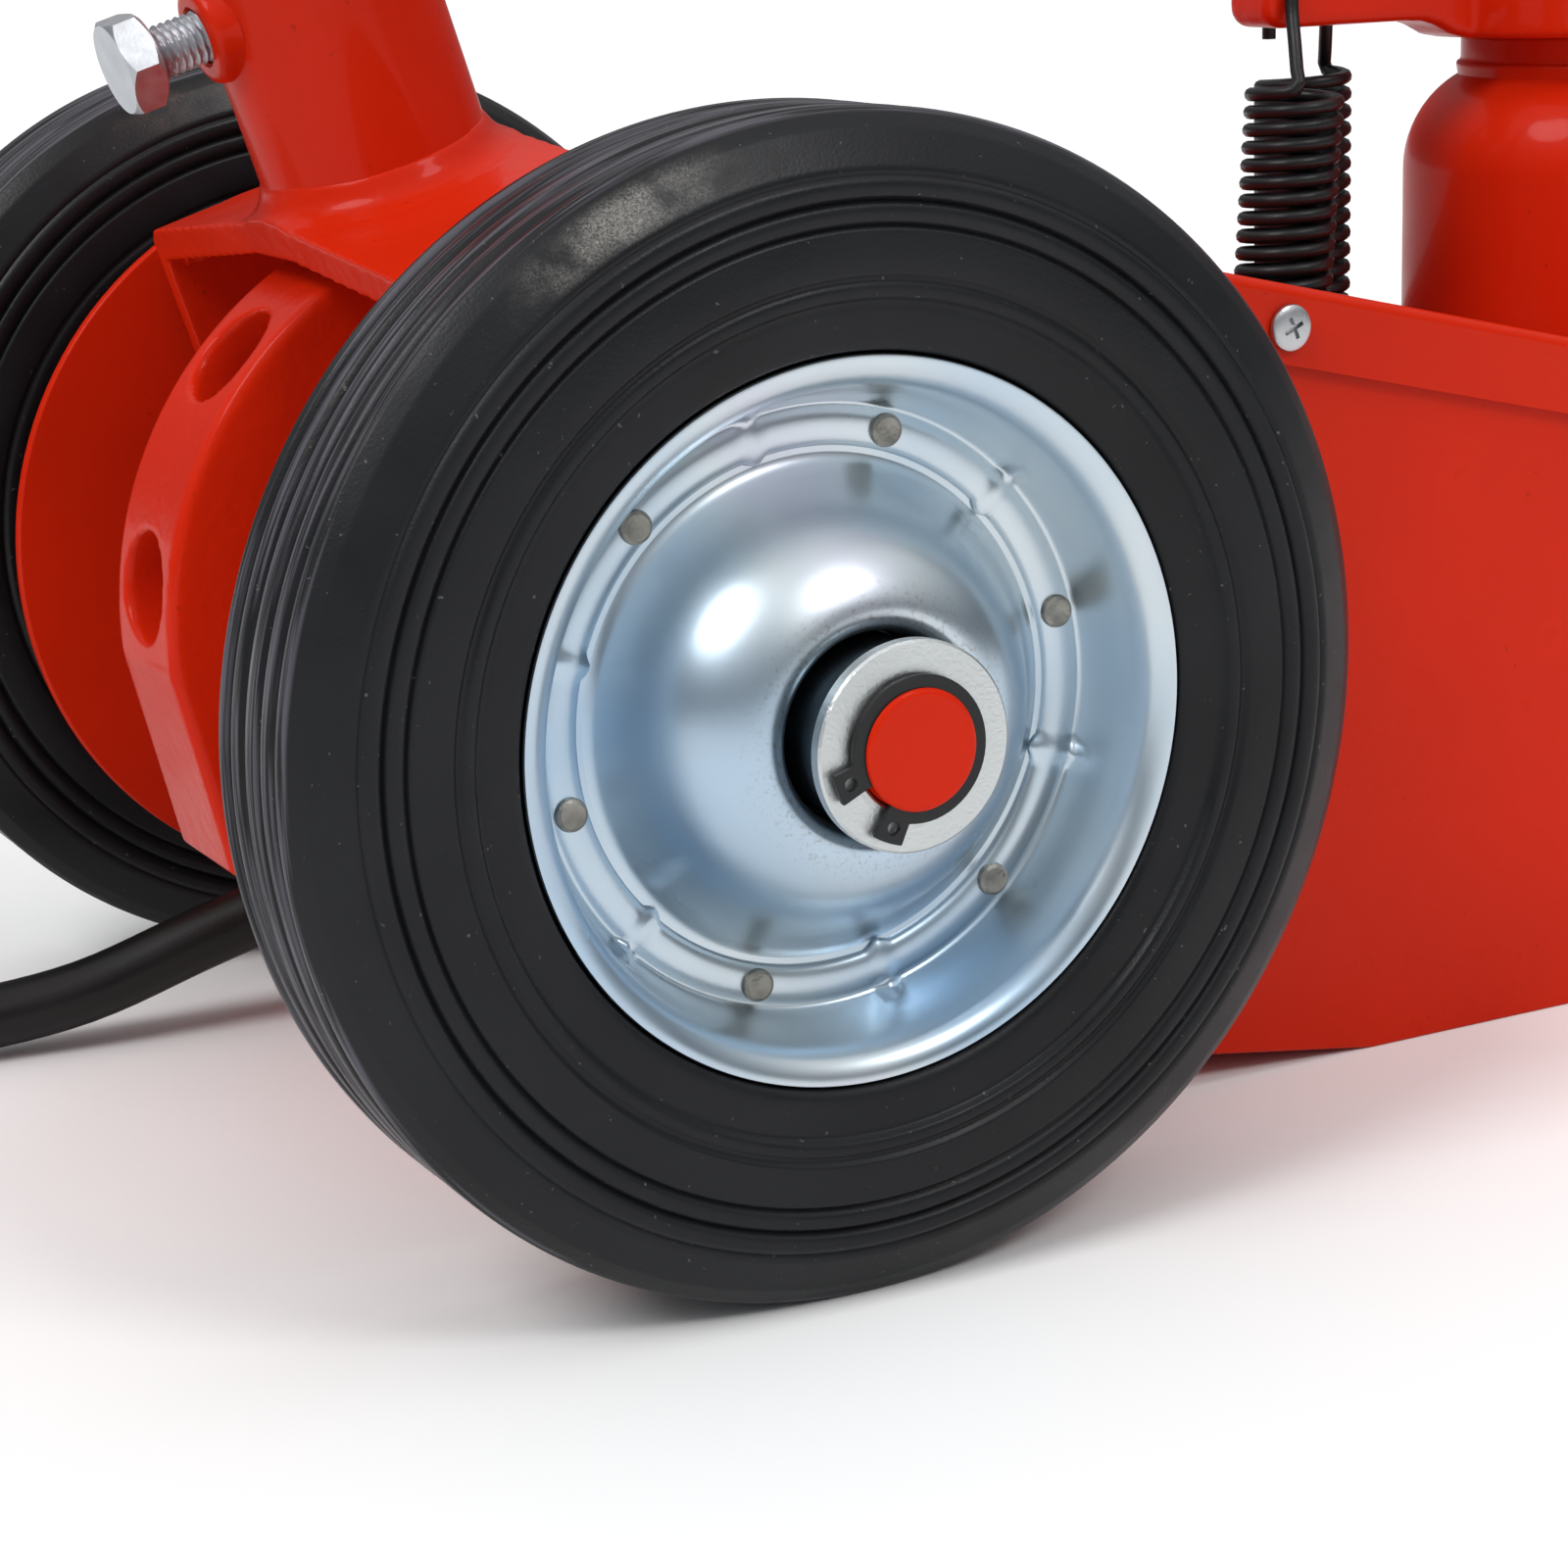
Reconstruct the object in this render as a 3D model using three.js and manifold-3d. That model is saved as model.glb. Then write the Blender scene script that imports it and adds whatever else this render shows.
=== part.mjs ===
// Wheeled air-over-hydraulic truck jack, in millimetres.
// The origin is on the ground under the lifting ram. +X points to the nose, +Y to the far side, +Z up.
import * as THREE from 'three';
import { mergeVertices } from 'three/addons/utils/BufferGeometryUtils.js';
import Module from 'manifold-3d';

const wasm = await Module();
wasm.setup();

// ---------------------------------------------------------------- driving dimensions
const GAP = 0.3; // clearance between touching pieces
const RAD = Math.PI / 180;

// running gear
const AXLE_X = -270;
const AXLE_Z = 100;
const AXLE_R = 10.1;
const AXLE_HALF = 160.5;
const TYRE_R = 100;
const WHEEL_Y = 124.4; // wheel mid-plane from the centre plane
const TREAD_HALF = 14.35;
const HUB_R = 16;
const HUB_HALF = 30;
const WASHER_R = 17.5;
const WASHER_T = 3;
const RIVET_CIRCLE_R = 47.8;
const RIVET_COUNT = 6;
const RIVET_FIRST_DEG = 13.3;
const CLIP_GAP_DEG = 222; // direction of the circlip's open side

// sheet-metal body
const PANEL_Y = 82.75; // outer face of each side plate
const PANEL_T = 3;
const CHEEK_R = 77; // rounded rear end of the side plates, about the axle
const KINK_X = -122; // where the flat underside starts to rise to the rear
const NOSE_X = 125;
const REAR_X = -220; // rear end of the lid and of the bulkhead
const LID_SLOPE = 13.3 * RAD;
const LID_ABOVE_AXLE = 84.3; // lid plane's distance from the axle centre
const LID_T = 1.5;
const FLANGE_H = 15;
const BASE_T = 12;

// hydraulics
const CYLINDER_R = 42;
const CYLINDER_SHOULDER_Z = 165;
const SHOULDER_R = 24;
const NECK_R = 28.6;
const NECK_TOP_Z = 193.6;
const RAM_R = 22.3;
const HEAD_R = 40;
const HEAD_Z = 195;
const HEAD_TOP_Z = 222;
const EAR_Z = 199.6;
const EAR_REACH = 96;
const EAR_HALF_T = 8;
const SCREW_R = 13.9;
const SADDLE_R = 32;
const SADDLE_TOP_Z = 240;
const KNOB_Y = 40;
const KNOB_Z = 52;

// return springs: centre of the top coil, and how far the foot lies back
const SPRING_R = 10.6;
const SPRING_SLOT_R = 15.2;
const SPRING_TOP_Z = 188.5;
const BLOCK_TOP_Z = 40;
const SPRINGS = [
  { name: 'spring_rear_near', x: -89, y: -9.4, footShift: -10.4, footZ: BLOCK_TOP_Z },
  { name: 'spring_rear_far', x: -73, y: 9.8, footShift: 0, footZ: BLOCK_TOP_Z },
  { name: 'spring_front_far', x: 89, y: 9.4, footShift: 10.4, footZ: BASE_T + GAP },
  { name: 'spring_front_near', x: 73, y: -9.8, footShift: 0, footZ: BASE_T + GAP },
];

// handle: its own frame stands on the axle, with the tube along local Z
const HANDLE_TILT = 17 * RAD;
const TUBE_OFFSET = 2;
const TUBE_R = 22;
const TUBE_WALL = 3.5;
const TUBE_TOP = 250;
const YOKE_TOP = 86.4;
const YOKE_DROP = 7.6; // how much lower the shoulders end
const YOKE_HALF_WIDTH = 75;
const YOKE_HALF_DEPTH = 25.5;
const YOKE_T = 6.5;
const ARM_T = 5;
const BOLT_R = 5;
const BOLT_HEAD_R = 9.8;
const BOSS_Z = 121.6;
const BAR_R = 17;
const BAR_WALL = 3;
const BAR_TOP = 840;
const CROSS_R = 12;
const GRIP_REACH = 175;

// index quadrant and pin
const QUADRANT_R = 76.5;
const QUADRANT_HALF_T = 16;
const DETENTS_DEG = [0, 31.6, 67.3];
const PIN_R = 8;
const PIN_TIP_Z = 78;
const PIN_PEG_Z = 165;

// air hose
const HOSE_R = 6.75;
const COIL_MID_R = 80;
const COIL_CENTRE = [-560, 118];
const VALVE_START = [COIL_CENTRE[0] + 62, COIL_CENTRE[1] + COIL_MID_R, 13.9];
const LEVER_Z = 18.1; // lever pivot above the valve's axis

// ---------------------------------------------------------------- materials
const paint = (color) => new THREE.MeshStandardMaterial({ color, roughness: 0.25, metalness: 0.1 });
const metal = (color, roughness) => new THREE.MeshStandardMaterial({ color, roughness, metalness: 1 });
const dull = (color, roughness) => new THREE.MeshStandardMaterial({ color, roughness, metalness: 0 });
const RED = '#cf2410';
const RUBBER = '#1b1c1e';
const ZINC = '#b9c4cc';

// ---------------------------------------------------------------- helpers
function solid(geometry) {
  const bare = geometry.clone();
  bare.deleteAttribute('normal');
  bare.deleteAttribute('uv');
  const merged = mergeVertices(bare, 1e-4);
  const mesh = new wasm.Mesh({
    numProp: 3,
    vertProperties: new Float32Array(merged.attributes.position.array),
    triVerts: new Uint32Array(merged.index.array),
  });
  return new wasm.Manifold(mesh);
}

function geometryOf(manifold) {
  const mesh = manifold.getMesh();
  const geometry = new THREE.BufferGeometry();
  geometry.setAttribute('position', new THREE.BufferAttribute(new Float32Array(mesh.vertProperties), 3));
  geometry.setIndex(new THREE.BufferAttribute(new Uint32Array(mesh.triVerts), 1));
  geometry.computeVertexNormals();
  return geometry;
}

function join(first, ...others) {
  return geometryOf(others.reduce((sum, item) => sum.add(solid(item)), solid(first)));
}

function cut(first, ...tools) {
  return geometryOf(tools.reduce((rest, tool) => rest.subtract(solid(tool)), solid(first)));
}

function common(first, second) {
  return geometryOf(solid(first).intersect(solid(second)));
}

function box(xRange, yRange, zRange) {
  const size = [xRange, yRange, zRange].map(([low, high]) => high - low);
  const centre = [xRange, yRange, zRange].map(([low, high]) => (low + high) / 2);
  return new THREE.BoxGeometry(...size).translate(...centre);
}

// a cylinder between two points
function rod(from, to, radius, segments = 24) {
  const start = new THREE.Vector3(...from);
  const end = new THREE.Vector3(...to);
  const along = end.clone().sub(start);
  const geometry = new THREE.CylinderGeometry(radius, radius, along.length(), segments);
  const direction = along.clone().normalize();
  const turn = new THREE.Quaternion().setFromUnitVectors(new THREE.Vector3(0, 1, 0), direction);
  return geometry.applyQuaternion(turn).translate(...start.add(end).multiplyScalar(0.5).toArray());
}

// a closed profile of [radius, height] points turned about Y
function turned(profile, segments = 36) {
  const points = profile.map(([radius, height]) => new THREE.Vector2(radius, height));
  if (profile[0][0] > 0) points.push(points[0].clone());
  const geometry = new THREE.LatheGeometry(points, segments);
  if (solid(geometry).volume() > 0) return geometry;
  return new THREE.LatheGeometry(points.reverse(), segments);
}

const turnedUpright = (profile, segments) => turned(profile, segments).rotateX(Math.PI / 2);

// an outline in the X-Z plane, with the given thickness between two Y values
function slab(shape, yLow, yHigh) {
  const options = { depth: yHigh - yLow, bevelEnabled: false, curveSegments: 10 };
  return new THREE.ExtrudeGeometry(shape, options).rotateX(Math.PI / 2).translate(0, yHigh, 0);
}

function outline(points) {
  return new THREE.Shape(points.map(([x, z]) => new THREE.Vector2(x, z)));
}

function arc(centreX, centreZ, radius, fromDeg, toDeg, steps) {
  return Array.from({ length: steps + 1 }, (unused, i) => {
    const angle = (fromDeg + ((toDeg - fromDeg) * i) / steps) * RAD;
    return [centreX + radius * Math.cos(angle), centreZ + radius * Math.sin(angle)];
  });
}

function add(parent, name, geometry, material) {
  const mesh = new THREE.Mesh(geometry, material);
  mesh.name = name;
  parent.add(mesh);
  return mesh;
}

// height of the lid's outer plane above the ground
function lidHeight(x) {
  return AXLE_Z + (LID_ABOVE_AXLE - (x - AXLE_X) * Math.sin(LID_SLOPE)) / Math.cos(LID_SLOPE);
}

// ---------------------------------------------------------------- wheels
const TYRE_PROFILE = [
  [53.6, 0], [57.8, 11.4], [62, 16.6], [69, 20.4], [90, 20.4], [TYRE_R, TREAD_HALF],
];
const DISC_FRONT = [
  [60.8, 17.4], [58.4, 17], [55.6, 12], [52.3, 2.6], [41.5, 2.6], [33, 13.5], [27.5, 19.2],
  [22, 21.4], [19.4, 19.8], [16.5, 9],
];
const DISC_BACK = [
  [18, 9], [20.6, 18], [22.3, 19.7], [26.6, 17.7], [31.8, 12.3], [40.5, 0.3], [53.1, 0.3],
  [57.2, 11.4], [61, 16.1],
];

function tyre() {
  const mirrored = TYRE_PROFILE.slice(1).reverse().map(([radius, height]) => [radius, -height]);
  return turned([...TYRE_PROFILE, ...mirrored]);
}

const disc = () => turned([...DISC_FRONT, ...DISC_BACK], 30);

function hub() {
  const bore = AXLE_R + GAP;
  return turned([[bore, -HUB_HALF], [HUB_R, -HUB_HALF], [HUB_R, HUB_HALF], [bore, HUB_HALF]], 20);
}

function rivet(angle) {
  const profile = [[0, 2.9], [3.2, 2.9], [3.2, 3.7], [2.4, 4.3], [0, 4.3]];
  const x = RIVET_CIRCLE_R * Math.cos(angle);
  const z = RIVET_CIRCLE_R * Math.sin(angle);
  return turned(profile, 8).translate(x, 0, z);
}

// the wheel's own frame has +Y pointing outwards
function wheel(side, name) {
  const group = new THREE.Group();
  group.position.set(AXLE_X, side * WHEEL_Y, AXLE_Z);
  if (side < 0) group.rotation.x = Math.PI;
  add(group, `tyre_${name}`, tyre(), dull(RUBBER, 0.5));
  add(group, `rim_outer_${name}`, disc(), metal(ZINC, 0.25));
  add(group, `rim_inner_${name}`, disc().rotateX(Math.PI), metal(ZINC, 0.25));
  add(group, `hub_${name}`, hub(), dull('#202326', 0.4));
  for (let i = 0; i < RIVET_COUNT; i += 1) {
    const angle = (side * RIVET_FIRST_DEG + (i * 360) / RIVET_COUNT) * RAD;
    add(group, `rivet_${name}_${i + 1}`, rivet(angle), metal('#8f8f88', 0.5));
  }
  return group;
}

// ---------------------------------------------------------------- axle and its retainers
function axle() {
  const groove = [WHEEL_Y + HUB_HALF + GAP + WASHER_T + GAP, 1.8];
  const half = [
    [AXLE_R, 0], [AXLE_R, PANEL_Y + GAP], [14, PANEL_Y + GAP], [14, WHEEL_Y - HUB_HALF - GAP],
    [AXLE_R, WHEEL_Y - HUB_HALF - GAP], [AXLE_R, groove[0]], [9.2, groove[0]], [9.2, groove[0] + groove[1]],
    [AXLE_R, groove[0] + groove[1]], [AXLE_R, AXLE_HALF - 0.8], [AXLE_R - 0.8, AXLE_HALF], [0, AXLE_HALF],
  ];
  const other = half.slice(1).reverse().map(([radius, height]) => [radius, -height]);
  return turned([...other, ...half], 20).translate(AXLE_X, 0, AXLE_Z);
}

function washer(side) {
  const inner = WHEEL_Y + HUB_HALF + GAP;
  const ring = turned([[AXLE_R + GAP, 0], [WASHER_R, 0], [WASHER_R, WASHER_T], [AXLE_R + GAP, WASHER_T]], 24);
  return ring.translate(AXLE_X, side > 0 ? inner : -inner - WASHER_T, AXLE_Z);
}

// an open ring with a holed lug at each end
function circlip(side) {
  const thickness = 1.2;
  const start = WHEEL_Y + HUB_HALF + WASHER_T + 3 * GAP;
  const from = CLIP_GAP_DEG;
  const to = CLIP_GAP_DEG + 360;
  const shape = outline([
    ...arc(0, 0, 12.3, from + 36, to - 36, 14),
    ...arc(0, 0, 16, to - 36, to - 14, 3),
    ...arc(0, 0, 9.5, to - 14, from + 14, 16),
    ...arc(0, 0, 16, from + 14, from + 36, 3),
  ]);
  [CLIP_GAP_DEG - 25, CLIP_GAP_DEG + 25].forEach((degrees) => {
    const hole = arc(13.2 * Math.cos(degrees * RAD), 13.2 * Math.sin(degrees * RAD), 1.2, 0, 300, 5);
    shape.holes.push(new THREE.Path(hole.map(([x, z]) => new THREE.Vector2(x, z))));
  });
  const low = side > 0 ? start : -start - thickness;
  return slab(shape, low, low + thickness).translate(AXLE_X, 0, AXLE_Z);
}

// ---------------------------------------------------------------- sheet-metal body
// angle of the rear underside, from the kink to where it meets the rounded cheek
const KINK_DISTANCE = Math.hypot(AXLE_Z, KINK_X - AXLE_X);
const KINK_ANGLE = Math.atan2(AXLE_Z, KINK_X - AXLE_X) - Math.asin(CHEEK_R / KINK_DISTANCE);

function sidePlate(side) {
  const under = LID_T / Math.cos(LID_SLOPE) + GAP;
  const topRear = [REAR_X, lidHeight(REAR_X) - under];
  const reach = Math.hypot(topRear[0] - AXLE_X, topRear[1] - AXLE_Z);
  const bearing = Math.atan2(topRear[1] - AXLE_Z, topRear[0] - AXLE_X);
  const firstDeg = (bearing + Math.acos(CHEEK_R / reach)) / RAD;
  const lastDeg = 270 - KINK_ANGLE / RAD;
  const shape = outline([
    [KINK_X, 0], [NOSE_X, 0], [NOSE_X, lidHeight(NOSE_X) - under], topRear,
    ...arc(AXLE_X, AXLE_Z, CHEEK_R, firstDeg, lastDeg, 20),
  ]);
  const low = side > 0 ? PANEL_Y - PANEL_T : -PANEL_Y;
  const axleHole = rod([AXLE_X, -200, AXLE_Z], [AXLE_X, 200, AXLE_Z], AXLE_R + GAP);
  return cut(slab(shape, low, low + PANEL_T), axleHole);
}

function basePlate() {
  const half = PANEL_Y - PANEL_T - GAP;
  const rise = (KINK_X - REAR_X) * Math.tan(KINK_ANGLE);
  return slab(outline([
    [KINK_X, 0], [NOSE_X, 0], [NOSE_X, BASE_T], [KINK_X, BASE_T], [REAR_X, rise + 6], [REAR_X, rise],
  ]), -half, half);
}

function bulkhead(x, zLow) {
  const half = PANEL_Y - PANEL_T - GAP;
  const top = (at) => lidHeight(at) - LID_T / Math.cos(LID_SLOPE) - GAP;
  const front = x + PANEL_T;
  return slab(outline([[x, zLow], [front, zLow], [front, top(front)], [x, top(x)]]), -half, half);
}

function lid() {
  const half = PANEL_Y + GAP + LID_T;
  const length = (NOSE_X - REAR_X) / Math.cos(LID_SLOPE);
  const sheet = box([0, length], [-half, half], [-FLANGE_H, 0]);
  const inside = box([-1, length + 1], [-half + LID_T, half - LID_T], [-FLANGE_H - 1, -LID_T]);
  const folded = cut(sheet, inside).rotateY(LID_SLOPE).translate(REAR_X, 0, lidHeight(REAR_X));
  const slots = SPRINGS.map(({ x, y, footShift, footZ }) => {
    const drop = (SPRING_TOP_Z - lidHeight(x)) / (SPRING_TOP_Z - footZ);
    const at = x + footShift * drop;
    return rod([at, y, 40], [at, y, 190], SPRING_SLOT_R, 14);
  });
  return cut(folded, rod([0, 0, 40], [0, 0, 220], CYLINDER_R + 1.5, 28), ...slots);
}

function lidScrew(side, x) {
  const face = PANEL_Y + 2 * GAP + LID_T;
  const head = turned([[0, 0], [4.5, 0], [4.5, 1], [3.4, 2.2], [0, 2.6]], 10);
  if (side < 0) head.rotateX(Math.PI);
  return head.translate(x, side * face, lidHeight(x) - 8.2);
}

// ---------------------------------------------------------------- hydraulics
function cylinder() {
  const turnDeg = Math.acos((NECK_R - CYLINDER_R + SHOULDER_R) / SHOULDER_R) / RAD;
  const shoulder = arc(CYLINDER_R - SHOULDER_R, CYLINDER_SHOULDER_Z, SHOULDER_R, 0, turnDeg, 4);
  const foot = BASE_T + GAP;
  return turnedUpright([
    [0, foot], [48, foot], [48, foot + 8], [CYLINDER_R, foot + 8], ...shoulder,
    [NECK_R, NECK_TOP_Z], [RAM_R + GAP, NECK_TOP_Z], [RAM_R + GAP, 30], [0, 30],
  ], 28);
}

function ram() {
  const top = HEAD_Z - GAP;
  return turnedUpright([
    [0, 32], [RAM_R, 32], [RAM_R, top], [SCREW_R + GAP, top], [SCREW_R + GAP, 70], [0, 70],
  ], 24);
}

// a round collar with an ear on each side for the return springs
function liftHead() {
  const collar = turnedUpright([[0, HEAD_Z], [HEAD_R, HEAD_Z], [HEAD_R, HEAD_TOP_Z - 3],
    [HEAD_R - 3, HEAD_TOP_Z], [0, HEAD_TOP_Z]], 28);
  const right = [
    [HEAD_R - 6, HEAD_Z], [HEAD_R + 6, EAR_Z - 1], [HEAD_R + 16, EAR_Z],
    ...arc(EAR_REACH - 5, EAR_Z + 5, 5, -90, 0, 3), ...arc(EAR_REACH - 8, HEAD_TOP_Z - 11, 8, 0, 90, 3),
    [HEAD_R - 6, HEAD_TOP_Z - 3],
  ];
  const left = right.map(([x, z]) => [-x, z]).reverse();
  const ears = slab(outline([...right, ...left]), -EAR_HALF_T, EAR_HALF_T);
  const holes = SPRINGS.map(({ x }) => rod([x, -20, 209], [x, 20, 209], 4, 8));
  return cut(join(collar, ears), rod([0, 0, 180], [0, 0, 240], SCREW_R + GAP, 20), ...holes);
}

function saddle() {
  const face = HEAD_TOP_Z + GAP;
  const body = turnedUpright([
    [0, 75], [SCREW_R, 75], [SCREW_R, face], [SADDLE_R - 3, face], [SADDLE_R, face + 3],
    [SADDLE_R, SADDLE_TOP_Z - 2], [SADDLE_R - 2, SADDLE_TOP_Z], [0, SADDLE_TOP_Z],
  ], 20);
  const depth = [SADDLE_TOP_Z - 4, SADDLE_TOP_Z + 4];
  return cut(body, box([-4, 4], [-40, 40], depth), box([-40, 40], [-4, 4], depth));
}

// outer shape of an extension spring with its hook eye at the top
function spring({ x, y, footShift, footZ }) {
  const coils = rod([x + footShift, y, footZ + 1], [x, y, SPRING_TOP_Z], SPRING_R, 12);
  const wire = [EAR_HALF_T + GAP, EAR_HALF_T + GAP + 2.4].map((reach) => reach * Math.sign(y));
  const eye = box([x - 2, x + 2], wire.sort((a, b) => a - b), [SPRING_TOP_Z - 2, 209]);
  return join(coils, eye);
}

function pumpBlock() {
  return box([-118, -54], [-34, 34], [BASE_T + GAP, BLOCK_TOP_Z]);
}

function airMotor() {
  const profile = [[0, -205], [21, -205], [25, -200], [25, -135], [17, -130], [17, -118.3], [0, -118.3]];
  return turned(profile, 18).rotateZ(-Math.PI / 2).translate(0, 0, 50);
}

// a knob with a finger wing, on the nose
function releaseKnob() {
  const disc = turned([[0, 0], [11, 0], [11, 5], [9, 7], [0, 7]], 20).rotateZ(-Math.PI / 2);
  const wing = box([5, 15], [-2.5, 2.5], [-14, 14]);
  return join(disc, wing).translate(NOSE_X + GAP, KNOB_Y, KNOB_Z);
}

// ---------------------------------------------------------------- index quadrant, handle and pin
function quadrant() {
  const band = outline([
    ...arc(0, 0, QUADRANT_R, 84, 184, 16), [-67.3, -44.3], [-56, -54], [-50, -30],
    ...arc(0, 0, QUADRANT_R - 18, 200, 84, 12),
  ]);
  const web = outline([
    ...arc(0, 0, QUADRANT_R - 14, 88, 190, 8), [-58, -46], [-20, -52], [49.5, -46], [49.5, 30],
  ]);
  const boss = rod([0, -22, 0], [0, 22, 0], 19, 20);
  const casting = join(slab(band, -QUADRANT_HALF_T, QUADRANT_HALF_T), slab(web, -6, 6), boss);
  const holes = DETENTS_DEG.map((degrees) => {
    const axisAngle = HANDLE_TILT + degrees * RAD;
    const along = [-Math.sin(axisAngle), Math.cos(axisAngle)];
    const aside = [TUBE_OFFSET * along[1], -TUBE_OFFSET * along[0]];
    const at = (reach) => [aside[0] + along[0] * reach, 0, aside[1] + along[1] * reach];
    return rod(at(50), at(90), PIN_R + 1.5, 12);
  });
  const axleHole = rod([0, -40, 0], [0, 40, 0], AXLE_R + GAP, 20);
  return cut(casting, axleHole, ...holes).translate(AXLE_X, 0, AXLE_Z);
}

// a folded yoke: a shallow roof with an arm down each side to the axle
function yoke() {
  const half = YOKE_HALF_WIDTH;
  const low = YOKE_TOP - YOKE_DROP;
  const ridge = YOKE_TOP - 1;
  const section = new THREE.Shape([
    [-half, -60], [-half, low - 3], [-half + 3, low], [-10, ridge], [10, ridge],
    [half - 3, low], [half, low - 3], [half, -60], [half - ARM_T, -60], [half - ARM_T, low - YOKE_T],
    [10, ridge - YOKE_T], [-10, ridge - YOKE_T], [-half + ARM_T, low - YOKE_T], [-half + ARM_T, -60],
  ].map(([y, z]) => new THREE.Vector2(y, z)));
  const depth = 2 * YOKE_HALF_DEPTH;
  const folded = new THREE.ExtrudeGeometry(section, { depth, bevelEnabled: false });
  folded.rotateX(Math.PI / 2).rotateZ(Math.PI / 2).translate(TUBE_OFFSET - YOKE_HALF_DEPTH, 0, 0);
  const side = slab(outline([
    [TUBE_OFFSET + YOKE_HALF_DEPTH, 100], [TUBE_OFFSET - YOKE_HALF_DEPTH, 100],
    ...arc(TUBE_OFFSET, 0, YOKE_HALF_DEPTH, 180, 360, 14),
  ]), -90, 90);
  const axleHole = rod([0, -90, 0], [0, 90, 0], AXLE_R + GAP, 20);
  const pinHole = rod([TUBE_OFFSET, 0, 60], [TUBE_OFFSET, 0, 100], PIN_R + 0.6, 14);
  return cut(common(folded, side), axleHole, pinHole);
}

function socketTube() {
  const foot = YOKE_TOP - 1 + GAP;
  const tube = turnedUpright([
    [TUBE_R - TUBE_WALL, foot], [TUBE_R, foot], [TUBE_R, TUBE_TOP], [TUBE_R - TUBE_WALL, TUBE_TOP],
  ], 24);
  const boss = rod([-TUBE_R + TUBE_WALL - 1, 0, BOSS_Z], [-TUBE_R - 4, 0, BOSS_Z], 9.5, 14);
  const thread = rod([-TUBE_R - 10, 0, BOSS_Z], [-10, 0, BOSS_Z], BOLT_R + GAP, 14);
  const slot = box([8, TUBE_R + 4], [-5, 5], [142, 176]);
  return cut(join(tube, boss), thread, slot).translate(TUBE_OFFSET, 0, 0);
}

function clampBolt() {
  const shank = rod([-36, 0, BOSS_Z], [-BAR_R - GAP, 0, BOSS_Z], BOLT_R - 0.1, 14);
  const head = rod([-41.5, 0, BOSS_Z], [-35.1, 0, BOSS_Z], BOLT_HEAD_R, 6);
  return join(head, shank).translate(TUBE_OFFSET, 0, 0);
}

// the removable handle: a straight tube with a cross bar at its top
function handleBar() {
  const stem = rod([0, 0, 182], [0, 0, BAR_TOP], BAR_R, 20);
  const cross = rod([0, -GRIP_REACH, BAR_TOP], [0, GRIP_REACH, BAR_TOP], CROSS_R, 16);
  const stemBore = rod([0, 0, 180], [0, 0, BAR_TOP - CROSS_R], BAR_R - BAR_WALL, 12);
  const crossBore = rod([0, -180, BAR_TOP], [0, 180, BAR_TOP], CROSS_R - BAR_WALL, 10);
  return cut(join(stem, cross), stemBore, crossBore).translate(TUBE_OFFSET, 0, 0);
}

function grip(side) {
  const sleeve = turned([
    [12.3, 60], [16, 62], [16.5, 66], [15.5, 72], [15.5, 168], [16.5, 176], [15, 179.5], [0, 179.5],
    [0, GRIP_REACH + GAP], [12.3, GRIP_REACH + GAP],
  ], 18);
  if (side < 0) sleeve.rotateX(Math.PI);
  return sleeve.translate(TUBE_OFFSET, 0, BAR_TOP);
}

// pulled up clear of the quadrant, so the handle is free to tilt
function indexPin() {
  const shaft = rod([0, 0, PIN_TIP_Z], [0, 0, PIN_TIP_Z + 94], PIN_R, 14);
  const peg = rod([4, 0, PIN_PEG_Z], [TUBE_R + 14, 0, PIN_PEG_Z], 3.8, 10);
  const knob = new THREE.SphereGeometry(9, 12, 8).translate(TUBE_R + 18, 0, PIN_PEG_Z);
  return join(shaft, peg, knob).translate(TUBE_OFFSET, 0, 0);
}

// ---------------------------------------------------------------- air hose
// the free stretch from the gland on the rear bulkhead to the coil on the ground
const HOSE_POINTS = [
  [-236, 51, 45], [-240, 51, 45], [-264, 53, 38.5], [-290, 58, 29.5], [-318, 63, 20.5],
  [-345, 67, 11.6], [-372, 71, 8], [-405, 71, 7.1], [-452, 57, 7.05], [-490, 42, 7.05],
  [-512, 36.5, 7.05],
];

function hose() {
  const route = HOSE_POINTS.map((point) => new THREE.Vector3(...point));
  const section = new THREE.Shape(arc(0, 0, HOSE_R, 0, 324, 9).map(([x, y]) => new THREE.Vector2(x, y)));
  const extrudePath = new THREE.CatmullRomCurve3(route, false, 'centripetal');
  return new THREE.ExtrudeGeometry(section, { steps: 22, bevelEnabled: false, extrudePath });
}

// one and a half turns, one on the other
function hoseCoil() {
  const inner = COIL_MID_R - HOSE_R;
  const outer = COIL_MID_R + HOSE_R;
  const bottom = GAP;
  const top = GAP + 2.5 * 2 * HOSE_R;
  const ring = turnedUpright([
    [inner + 3, bottom], [outer - 3, bottom], [outer, bottom + 3], [outer, top - 3],
    [outer - 3, top], [inner + 3, top], [inner, top - 3], [inner, bottom + 3],
  ], 32);
  return ring.translate(...COIL_CENTRE, 0);
}

// pieces in line with the hose's far end: a profile's heights run along +X from the valve's inlet
function inLine(profile, segments) {
  return turned(profile, segments).rotateZ(-Math.PI / 2).translate(...VALVE_START);
}

function hoseGland() {
  const nut = rod([REAR_X - GAP, 0, 0], [REAR_X - 8, 0, 0], 10.5, 6);
  const collar = rod([REAR_X - 7, 0, 0], [-235.7, 0, 0], 9, 16);
  return join(nut, collar).translate(0, 51, 45);
}

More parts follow.
